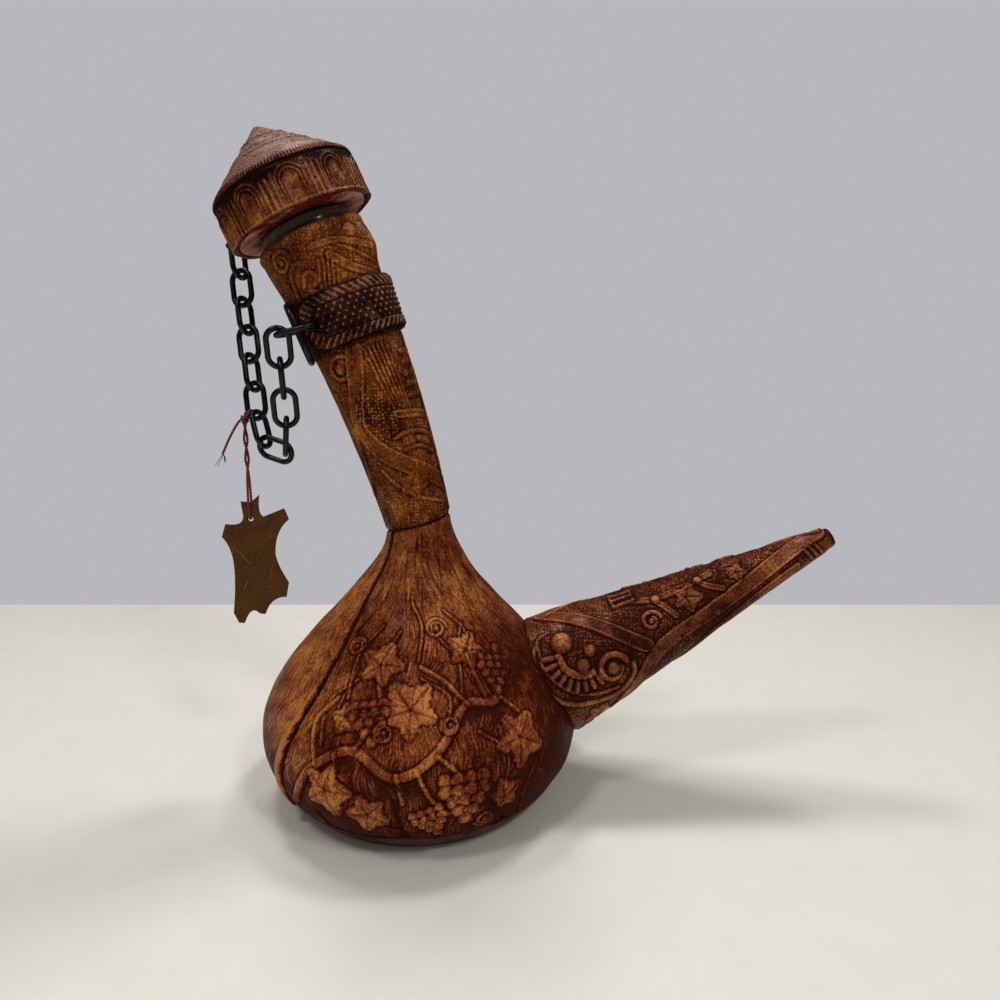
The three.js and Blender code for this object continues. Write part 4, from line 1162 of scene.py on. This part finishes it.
# Red thread: waxed two-ply twine tied round a link with a knot and a loose frayed tail; the doubled strand
# hangs to the tag, goes through its hole and comes up twisted with itself.
THREAD = 0.9
THREAD_TWIST = 2.3
TAG_HOLE_PLACE = np.array([-69.249, -2.374, 117.011])
KNOT_PLACE = TAG_HOLE_PLACE + (0, 0, 42)
WIRE_PLACE = np.array([-67.12, -2.79, 160.351])
KNOT_TURNS = 2
KNOT_SLACK = 0.15
OVERHAND_SIZE = (0.42, 0.42, 0.7)
FRAYS = 5
FRAY = 0.26
STRAND_ROUTE = TAG_HOLE_PLACE + np.array([
    (0.65, 0, 40.3), (0, -0.65, 36.5), (-0.65, 0, 32.5), (0, 0.65, 28.5), (0.65, 0, 24.5),
    (0.2, -0.75, 20.5), (0, -1.2, 16.5), (0, -1.6, 12), (0, -1.8, 8), (0, -1.8, 4), (0, -1.75, 1.4),
    (0, -1.27, 0.53), (0, 0, 0), (0, 1.27, 0.53), (0, 1.75, 1.4), (0, 1.8, 4), (0, 1.8, 8), (0, 1.6, 12),
    (0, 1.2, 16.5), (-0.2, 0.75, 20.5), (-0.65, 0, 24.5), (0, -0.65, 28.5), (0.65, 0, 32.5),
    (0, 0.65, 36.5), (-0.65, 0, 40.3),
])
TAIL_ROUTE = KNOT_PLACE + np.array([(0, 0, 0), (-2.6, -0.4, -2.4), (-6, -0.8, -8), (-9.6, -0.6, -15)])

red_twine, tree, shader, place = finish_named("red twine")
fibre = noise(tree, place, 1800, 6)
fill(tree, shader, {
    "Base Color": mixed(tree, fibre, paint(74, 2, 12), paint(138, 10, 30)),
    "Normal": bump(tree, fibre, 0.5, 0.0002),
    "Roughness": 0.7,
    "Sheen Weight": 0.1,
})


def tube(path, radius, sides):
    """Points and faces of a closed tube along a path; radius takes the length run and the angle round"""
    path = np.asarray(path, float)
    ahead = np.gradient(path, axis=0)
    ahead /= np.linalg.norm(ahead, axis=1, keepdims=True)
    side = np.cross(ahead[0], (0.31, 0.87, 0.41))
    angles = 2 * math.pi * np.arange(sides) / sides
    reach = radius(run_along(path)[:, None], angles[None, :])
    rings = []
    for spot, way, row in zip(path, ahead, reach):
        side = side - way * (side @ way)
        side /= np.linalg.norm(side)
        up = np.cross(way, side)
        rings.append(spot + row[:, None] * (np.outer(np.cos(angles), side) + np.outer(np.sin(angles), up)))
    return np.vstack(rings), loop_faces(len(path), sides, capped=True)


def joined(parts):
    """Several closed meshes as one"""
    points, faces, first = [], [], 0
    for spots, sides in parts:
        points.append(spots)
        faces += [tuple(first + k for k in face) for face in sides]
        first += len(spots)
    return np.vstack(points), faces


def twisted(run, angle):
    """Radius of two plies laid round each other"""
    return THREAD / 2 * (0.9 + 0.3 * np.abs(np.cos(angle - THREAD_TWIST * run)))


def plain(thickness):
    """Radius of a plain round wire or fibre, for a tube"""
    return lambda run, angle: np.full(np.broadcast(run, angle).shape, thickness / 2)


strand_path = through(STRAND_ROUTE, 0.25)
strand = mesh_piece("thread-strand", *tube(strand_path, twisted, 14), red_twine)
put(strand, "thread_strand")

_, link_along, link_across = link_axes("chain_link_f")
outwards = (KNOT_PLACE - WIRE_PLACE) / np.linalg.norm(KNOT_PLACE - WIRE_PLACE)
wire_way = np.cross(np.cross(link_along, link_across), outwards)
wire_way /= np.linalg.norm(wire_way)
beside = np.cross(wire_way, outwards)
wind = np.linspace(0, 2 * math.pi * KNOT_TURNS, 60 * KNOT_TURNS)
turn_radius = (LINK_WIRE + THREAD) / 2 + KNOT_SLACK
turns_path = WIRE_PLACE + turn_radius * (np.outer(np.cos(wind), outwards) + np.outer(np.sin(wind), beside))
turns_path += np.outer((wind / wind[-1] - 0.5) * THREAD * KNOT_TURNS, wire_way)
loop = np.linspace(0, 2 * math.pi, 90)
overhand = np.stack([
    np.sin(loop) + 2 * np.sin(2 * loop), np.cos(loop) - 2 * np.cos(2 * loop), -1.6 * np.sin(3 * loop),
], 1)
knot_path = KNOT_PLACE - (0, 0, THREAD) + overhand * OVERHAND_SIZE
knot_parts = [tube(path, twisted, 12) for path in (turns_path, knot_path, through(TAIL_ROUTE, 0.3))]
tail_end = TAIL_ROUTE[-1]
for k in range(FRAYS):
    spread = np.array([math.cos(1.3 * k), math.sin(2.1 * k), -1.2 - 0.3 * k % 1])
    fray = through([tail_end, tail_end + 0.8 * spread, tail_end + 2.1 * spread + (-0.8, 0, -0.6)], 0.2)
    knot_parts.append(tube(fray, plain(FRAY), 6))
put(mesh_piece("thread-knot", *joined(knot_parts), red_twine), "thread_knot")

# Tag: a small piece of thin leather cut to the outline of a hide, bare, its edges softened and its hole
# punched for the thread.
TAG_THICKNESS = 1.2
TAG_HOLE = 2.4
TAG_EDGE = 0.3
CURVE_STEPS = 8
LINE_STEPS = 3
TAG_OUTLINE = [
    [(-3.7, 7.2), (0.6, 7)], [(0.6, 7), (4, 10)], [(4, 10), (2.6, 2), (5.2, 0.8)], [(5.2, 0.8), (13.9, 4.3)],
    [(13.9, 4.3), (15, 2), (15.7, -0.4)], [(15.7, -0.4), (9.4, -5.5), (9.3, -15.4)],
    [(9.3, -15.4), (10, -20.5), (14.3, -27.6)], [(14.3, -27.6), (13, -33.8)],
    [(13, -33.8), (6.6, -33.6), (3.7, -41.4)], [(3.7, -41.4), (1.4, -41.2)],
    [(1.4, -41.2), (-2, -37), (-5.4, -45.4)], [(-5.4, -45.4), (-7.7, -45.3)], [(-7.7, -45.3), (-9.7, -40.9)],
    [(-9.7, -40.9), (-7.4, -25), (-8.5, -17)], [(-8.5, -17), (-9.4, -11), (-12.5, -7.8)],
    [(-12.5, -7.8), (-10.7, -2.4)], [(-10.7, -2.4), (-3, -3.6), (-3, 1.4)], [(-3, 1.4), (-3.7, 7.2)],
]

tag_leather, tree, shader, place = finish_named("tag leather")
cloud = noise(tree, place, 120, 6)
speckle = noise(tree, place, 1400, 3)
tone = mixed(tree, ramp(tree, cloud, 0.3, 0.7), paint(66, 36, 9), paint(84, 50, 14))
tone = mixed(tree, ramp(tree, speckle, 0.45, 0.75), tone, paint(98, 62, 22))
scratched = 0.0
for lean in (0.35, 1.5, 2.3):
    scratch = {"Vector": place, "Rotation": (0, lean, 0), "Scale": (1, 1, 14)}
    slant = add(tree, "ShaderNodeMapping", scratch, vector_type="TEXTURE").outputs[0]
    hairline = noise(tree, slant, 1100, 2)
    scratched = calc(tree, "MAXIMUM", scratched, ramp(tree, hairline, 0.66, 0.84))
fill(tree, shader, {
    "Base Color": mixed(tree, scratched, tone, paint(132, 92, 44)),
    "Roughness": ramp(tree, cloud, 0.3, 0.7, 0.42, 0.62),
    "Specular IOR Level": 0.15,
    "Normal": bump(tree, speckle, 0.25, 0.0002),
})
sheet = bpy.data.curves.new("tag", "CURVE")
sheet.dimensions = "2D"
sheet.fill_mode = "BOTH"
sheet.extrude = (TAG_THICKNESS / 2 - TAG_EDGE) * MM
sheet.bevel_depth = TAG_EDGE * MM
sheet.bevel_resolution = 3
sheet.offset = -TAG_EDGE * MM
outline = np.vstack([bezier(stretch, CURVE_STEPS if len(stretch) > 2 else LINE_STEPS)[:-1]
                     for stretch in TAG_OUTLINE])
ring = np.radians(np.arange(0, 360, 12))
punched = TAG_HOLE / 2 * np.stack([np.cos(ring), np.sin(ring)], 1)
for spots in (outline, punched):
    corners = np.zeros((len(spots), 4))
    corners[:, :2] = spots * MM
    corners[:, 3] = 1
    spline = sheet.splines.new("POLY")
    spline.points.add(len(spots) - 1)
    spline.points.foreach_set("co", corners.ravel())
    spline.use_cyclic_u = True
pattern = bpy.data.objects.new("tag pattern", sheet)
scene.collection.objects.link(pattern)
flat = baked(pattern)
bpy.data.objects.remove(pattern)
spots = np.array([vertex.co for vertex in flat.vertices]) / MM
upright = np.stack([spots[:, 0], -spots[:, 2], spots[:, 1]], 1) + TAG_HOLE_PLACE
tag_faces = [tuple(face.vertices) for face in flat.polygons]
tag = mesh_piece("hide-tag", upright, tag_faces, tag_leather, soft=False)
put(tag, "tag")
run_along(strand_path)[-1] * MM

# Cap: a drum of dark tooled leather with arched niches and flutes under a low conical roof, both glued over a
# wooden block that holds the cork; a pale lining closes it underneath.
CAP_LEATHER = 2.0
CAP_RADIUS = 28.5
CAP_HEIGHT = 40.0
CAP_SLOPE = math.radians(39)
CAP_SHOULDER = 1.8
CAP_TOP_RADIUS = 2.5
CAP_TOP_DOME = 0.9
LINING = 1.6
CORK_DEPTH = 12.0
CORK_SOCKET = 8.0
CORK_CLEARANCE = 0.6
ARCHES = 10
ARCH_TURN = -3.0
ARCH_HALF_WIDTH = 3.9
ARCH_RISE = 8.6
FLUTE_PITCH = 4.5
TICK_PITCH = 2.5
HATCH_PITCH = 3.6
ROOF_LINES = (6.4, 12.6, 16.2, 22.6)
LATTICE_FIRST = 7.0
LATTICE_LAST = 24.0
LATTICE_SLANT = 3.4
LATTICE_PITCH = 30
AXIS_GAP = 0.2
CAP_SKIP = 5

cap_lift = LIP_HEIGHT + CLEARANCE
cap_corner = cap_lift + CAP_HEIGHT - CAP_RADIUS * math.tan(CAP_SLOPE)
border_radius = CAP_RADIUS - CAP_SHOULDER * math.cos(CAP_SLOPE)
border_height = cap_corner + CAP_SHOULDER * math.sin(CAP_SLOPE)


def turned_on(outline):
    """A surface turned on the cap's axis, by degrees round it and millimetres along an outline, and the
    outline's length"""
    run = run_along(outline)

    def surface(azimuth, up):
        turn = np.radians(azimuth)
        radius = np.interp(up, run, outline[:, 0])
        height = np.interp(up, run, outline[:, 1])
        upright = np.stack([radius * np.cos(turn), radius * np.sin(turn), height], -1)
        return leaned(upright, NECK_TOP_TILT, mouth)

    return surface, run[-1]


def between(value, first, last):
    """1 between two bounds, softened just inside them"""
    return smooth(value, first, first + 0.4) * (1 - smooth(value, last - 0.4, last))


shoulder = [(CAP_RADIUS, cap_corner - CAP_SHOULDER), (CAP_RADIUS, cap_corner), (border_radius, border_height)]
wall_outline = np.vstack([[(CAP_RADIUS, cap_lift)], bezier(shoulder, 40)])
on_wall, wall_length = turned_on(wall_outline)
cap_leather = leather("cap leather", (27, 10, 4), (98, 43, 11), (160, 96, 36), coat=0.18)
drum = Hide(on_wall, *np.meshgrid(np.arange(0, 360, 0.5), np.linspace(0, wall_length, 86)))
drum.height += 0.12 * wander(drum.points, 13, 7.0)
arch_pitch = 360 / ARCHES
from_arch = (drum.degrees - ARCH_TURN + arch_pitch / 2) % arch_pitch - arch_pitch / 2
across = from_arch * math.radians(CAP_RADIUS)
arch_depth = ARCH_HALF_WIDTH - np.hypot(across, np.maximum(drum.along - ARCH_RISE, 0))
arch_top = smooth(drum.along, 3, 7)
drum.tone += 0.2 - 0.9 * smooth(drum.along, 4, wall_length - 2)
for depth, gain in ((0.0, 0.45), (-1.4, 0.35)):
    line = ridge(arch_depth - depth, 0.34) * (0.35 + 0.65 * arch_top)
    drum.height += gain * line
    drum.tone += 0.4 * line
    drum.tone -= 1.1 * ridge(arch_depth - depth - 0.75, 0.3) * (0.2 + 0.8 * arch_top)
niche = smooth(arch_depth, 1.0, 2.0)
drum.tone += niche * (0.35 + 0.5 * wander(drum.points, 6, 3.0))
drum.height -= 0.25 * niche
pier = smooth(-arch_depth, 1.9, 2.6)
flutes = smooth(np.abs(np.sin(drum.degrees * math.pi / FLUTE_PITCH)), 0.6, 1)
low_wall = 1 - smooth(drum.along, ARCH_RISE + 2, ARCH_RISE + 5)
drum.height += 0.5 * pier * flutes * low_wall
drum.tone += (0.85 * flutes - 0.3) * pier * low_wall
drum.tone -= 0.7 * pier * (1 - low_wall)
for up, tone, width in ((0.6, 0.8, 0.24), (wall_length - 3.2, -1.0, 0.5)):
    bead = ridge(drum.along - up, width)
    drum.height += 0.3 * np.sign(tone) * bead
    drum.tone += tone * bead
ticks = smooth(comb(drum.degrees / TICK_PITCH), 0.3, 0.7)
border = smooth(drum.along, wall_length - 2.7, wall_length - 2.4)
drum.height += 0.4 * border * ticks
drum.tone += border * (1.2 * ticks + 0.35)
drum.roll_edge(drum.along, 0.4, 0.3, dark=0.1)
sew("cap-band", drum, cap_leather, CAP_LEATHER, CAP_SKIP)

roof_tip = cap_corner + (CAP_RADIUS - CAP_TOP_RADIUS) * math.tan(CAP_SLOPE)
roof_start = border_radius - CLEARANCE / math.tan(CAP_SLOPE)
roof_outline = np.array([(roof_start, border_height + CLEARANCE), (CAP_TOP_RADIUS, roof_tip),
                         (CAP_TOP_RADIUS / 2, roof_tip + CAP_TOP_DOME), (0.3, roof_tip + CAP_TOP_DOME * 1.1)])
on_roof, roof_length = turned_on(roof_outline)
# Painted sheen: the roof is the cap's dark leather, with its dye painted a paler pinkish grey all over for
# the sheen of the ceiling lamps on its slope
roof_leather_and_sheen = leather("roof leather and painted sheen", (92, 60, 50), (122, 85, 70), (146, 108, 90), coat=0.1)
roof = Hide(on_roof, *np.meshgrid(np.arange(0, 360, 0.6), np.linspace(0, roof_length, 116)))
roof.height += 0.1 * wander(roof.points, 11, 8.0)
hatch = smooth(comb((roof.degrees + 2 * roof.along) / HATCH_PITCH), 0.2, 0.8)
for first, last, gain in ((0.8, 5.6, 0.28), (13.4, 15.4, 0.2)):
    band = between(roof.along, first, last)
    roof.height += gain * band * hatch
    roof.tone += band * (1.8 * gain * hatch - 0.15)
for up in ROOF_LINES:
    line = ridge(roof.along - up, 0.5)
    roof.height += 0.4 * line
    roof.tone += 0.3 * line
    roof.tone -= 0.6 * ridge(roof.along - up + 1.0, 0.4)
band = between(roof.along, LATTICE_FIRST, LATTICE_LAST)
for slant in (LATTICE_SLANT, -LATTICE_SLANT):
    lattice = comb((roof.degrees + slant * (roof.along - LATTICE_FIRST)) / LATTICE_PITCH)
    line = smooth(lattice, 0.88, 0.96) * band
    roof.height += 0.2 * line
    roof.tone += 0.4 * line - 0.6 * band * smooth(lattice, 0.7, 0.8) * (1 - smooth(lattice, 0.82, 0.9))
roof.hair += 0.15
roof.roll_edge(roof.along, 0.7, 0.3)
sew("cap-roof", roof, roof_leather_and_sheen, CAP_LEATHER, CAP_SKIP, tip=True)

cork_radius = NECK_TOP_RADIUS - LEATHER - CLEARANCE - GLASS - CORK_CLEARANCE
lining_leather = leather("lining leather", (92, 30, 14), (178, 122, 102), (208, 168, 150), coat=0.0)
lining_outer = CAP_RADIUS - CAP_LEATHER - CLEARANCE
lining_outline = np.array([
    (cork_radius + CLEARANCE, LINING), (cork_radius + CLEARANCE, 0.4), (cork_radius + 0.8, 0),
    (lining_outer - 0.5, 0), (lining_outer, 0.5), (lining_outer, LINING),
]) + (0, cap_lift)
on_lining, lining_length = turned_on(lining_outline)
lining = Hide(on_lining, *np.meshgrid(np.arange(0, 360, 3.0), np.linspace(0, lining_length, 41)))
lining.height += 0.12 * wander(lining.points, 6, 9.0)
lining.tone += 0.5 * wander(lining.points, 9, 9.0) - 0.9 * (1 - smooth(lining.along, 4, 9))
# Painted shade: the lining darkened on its near side, towards the front, where the cap shades it
lining.tone -= 1.1 * smooth(-np.sin(np.radians(lining.degrees - 8)), 0.6, 0.95)
lining.hair += 0.3
lining_points = (lining.points + lining.normal * lining.height[..., None]).reshape(-1, 3)
lining_faces = loop_faces(*lining.degrees.shape, closed=True)
lining_layers = {name: getattr(lining, name).ravel() for name in (*Hide.LAYERS, "along")}
lining_layers["across"] = lining.degrees.ravel()
put(mesh_piece("cap-lining", lining_points, lining_faces, lining_leather, lining_layers), "cap_lining")

cork_wood, tree, shader, place = finish_named("cork")
grains = add(tree, "ShaderNodeTexVoronoi", {"Vector": place, "Scale": 420}).outputs["Distance"]
flecks = ramp(tree, noise(tree, place, 300), 0.58, 0.68)
tone = mixed(tree, grains, paint(186, 142, 96), paint(150, 106, 66))
fill(tree, shader, {
    "Base Color": mixed(tree, flecks, tone, paint(92, 58, 36)),
    "Normal": bump(tree, grains, 0.4, 0.0004),
    "Roughness": 0.85,
})
cork_top = cap_lift + LINING + CORK_SOCKET
cork_end = cork_radius - (NECK_TOP_RADIUS - NECK_ROOT_RADIUS) * CORK_DEPTH / NECK_LENGTH
cork_outline = np.array([(AXIS_GAP, -CORK_DEPTH), (cork_end - 1, -CORK_DEPTH), (cork_end, 1 - CORK_DEPTH),
                         (cork_radius, 0), (cork_radius, cork_top), (AXIS_GAP, cork_top)])
on_cork, _ = turned_on(cork_outline)
turns, rows = np.meshgrid(np.arange(0, 360, 4.0), run_along(cork_outline))
cork_faces = loop_faces(*turns.shape, capped=True)
cork_points = on_cork(turns, rows).reshape(-1, 3)
put(mesh_piece("stopper-cork", cork_points, cork_faces, cork_wood, soft=False), "stopper_cork")

block_wood, tree, shader, place = finish_named("block wood")
rings = add(tree, "ShaderNodeTexWave", {"Vector": place, "Scale": 160, "Distortion": 3.0}).outputs[1]
grain = mixed(tree, rings, paint(150, 112, 70), paint(122, 86, 50))
fill(tree, shader, {"Base Color": grain, "Roughness": 0.75})
block = frame["nodes"]["cap_block"]
block.data.materials.clear()
block.data.materials.append(block_wood)

# Cap eye: a screw eye of blackened steel wire that holds the first link. It is bent to a ring and screwed
# through the drum's wall into the wooden block.
EYE_AZIMUTH = math.radians(155)
EYE_RISE = 9.5
EYE_HOLE = 5.6
EYE_WIRE = 1.8
EYE_SHANK = 12.0

black_steel, tree, shader, place = finish_named("blackened steel")
patina = noise(tree, place, 500)
fill(tree, shader, {
    "Base Color": mixed(tree, patina, paint(26, 25, 25), paint(62, 58, 54)),
    "Roughness": ramp(tree, patina, 0.3, 0.7, 0.3, 0.5),
    "Metallic": 0.8,
})
eye_ring = (EYE_HOLE + EYE_WIRE) / 2
eye_out = CAP_RADIUS + CLEARANCE + EYE_HOLE / 2 + EYE_WIRE
bow = np.linspace(math.pi, 3 * math.pi, 60)
shank = np.linspace(CAP_RADIUS - EYE_SHANK, eye_out - eye_ring - 0.4, 12)
out = np.concatenate([shank, eye_out + eye_ring * np.cos(bow)])
aside = np.concatenate([0 * shank, eye_ring * np.sin(bow)])
turn_x, turn_y = math.cos(EYE_AZIMUTH), math.sin(EYE_AZIMUTH)
height = np.full(out.shape, cap_lift + EYE_RISE)
eye_path = np.stack([out * turn_x - aside * turn_y, out * turn_y + aside * turn_x, height], 1)
eye_path = leaned(eye_path, NECK_TOP_TILT, mouth)
put(mesh_piece("cap-eye", *tube(eye_path, plain(EYE_WIRE), 16), black_steel), "cap_eye")
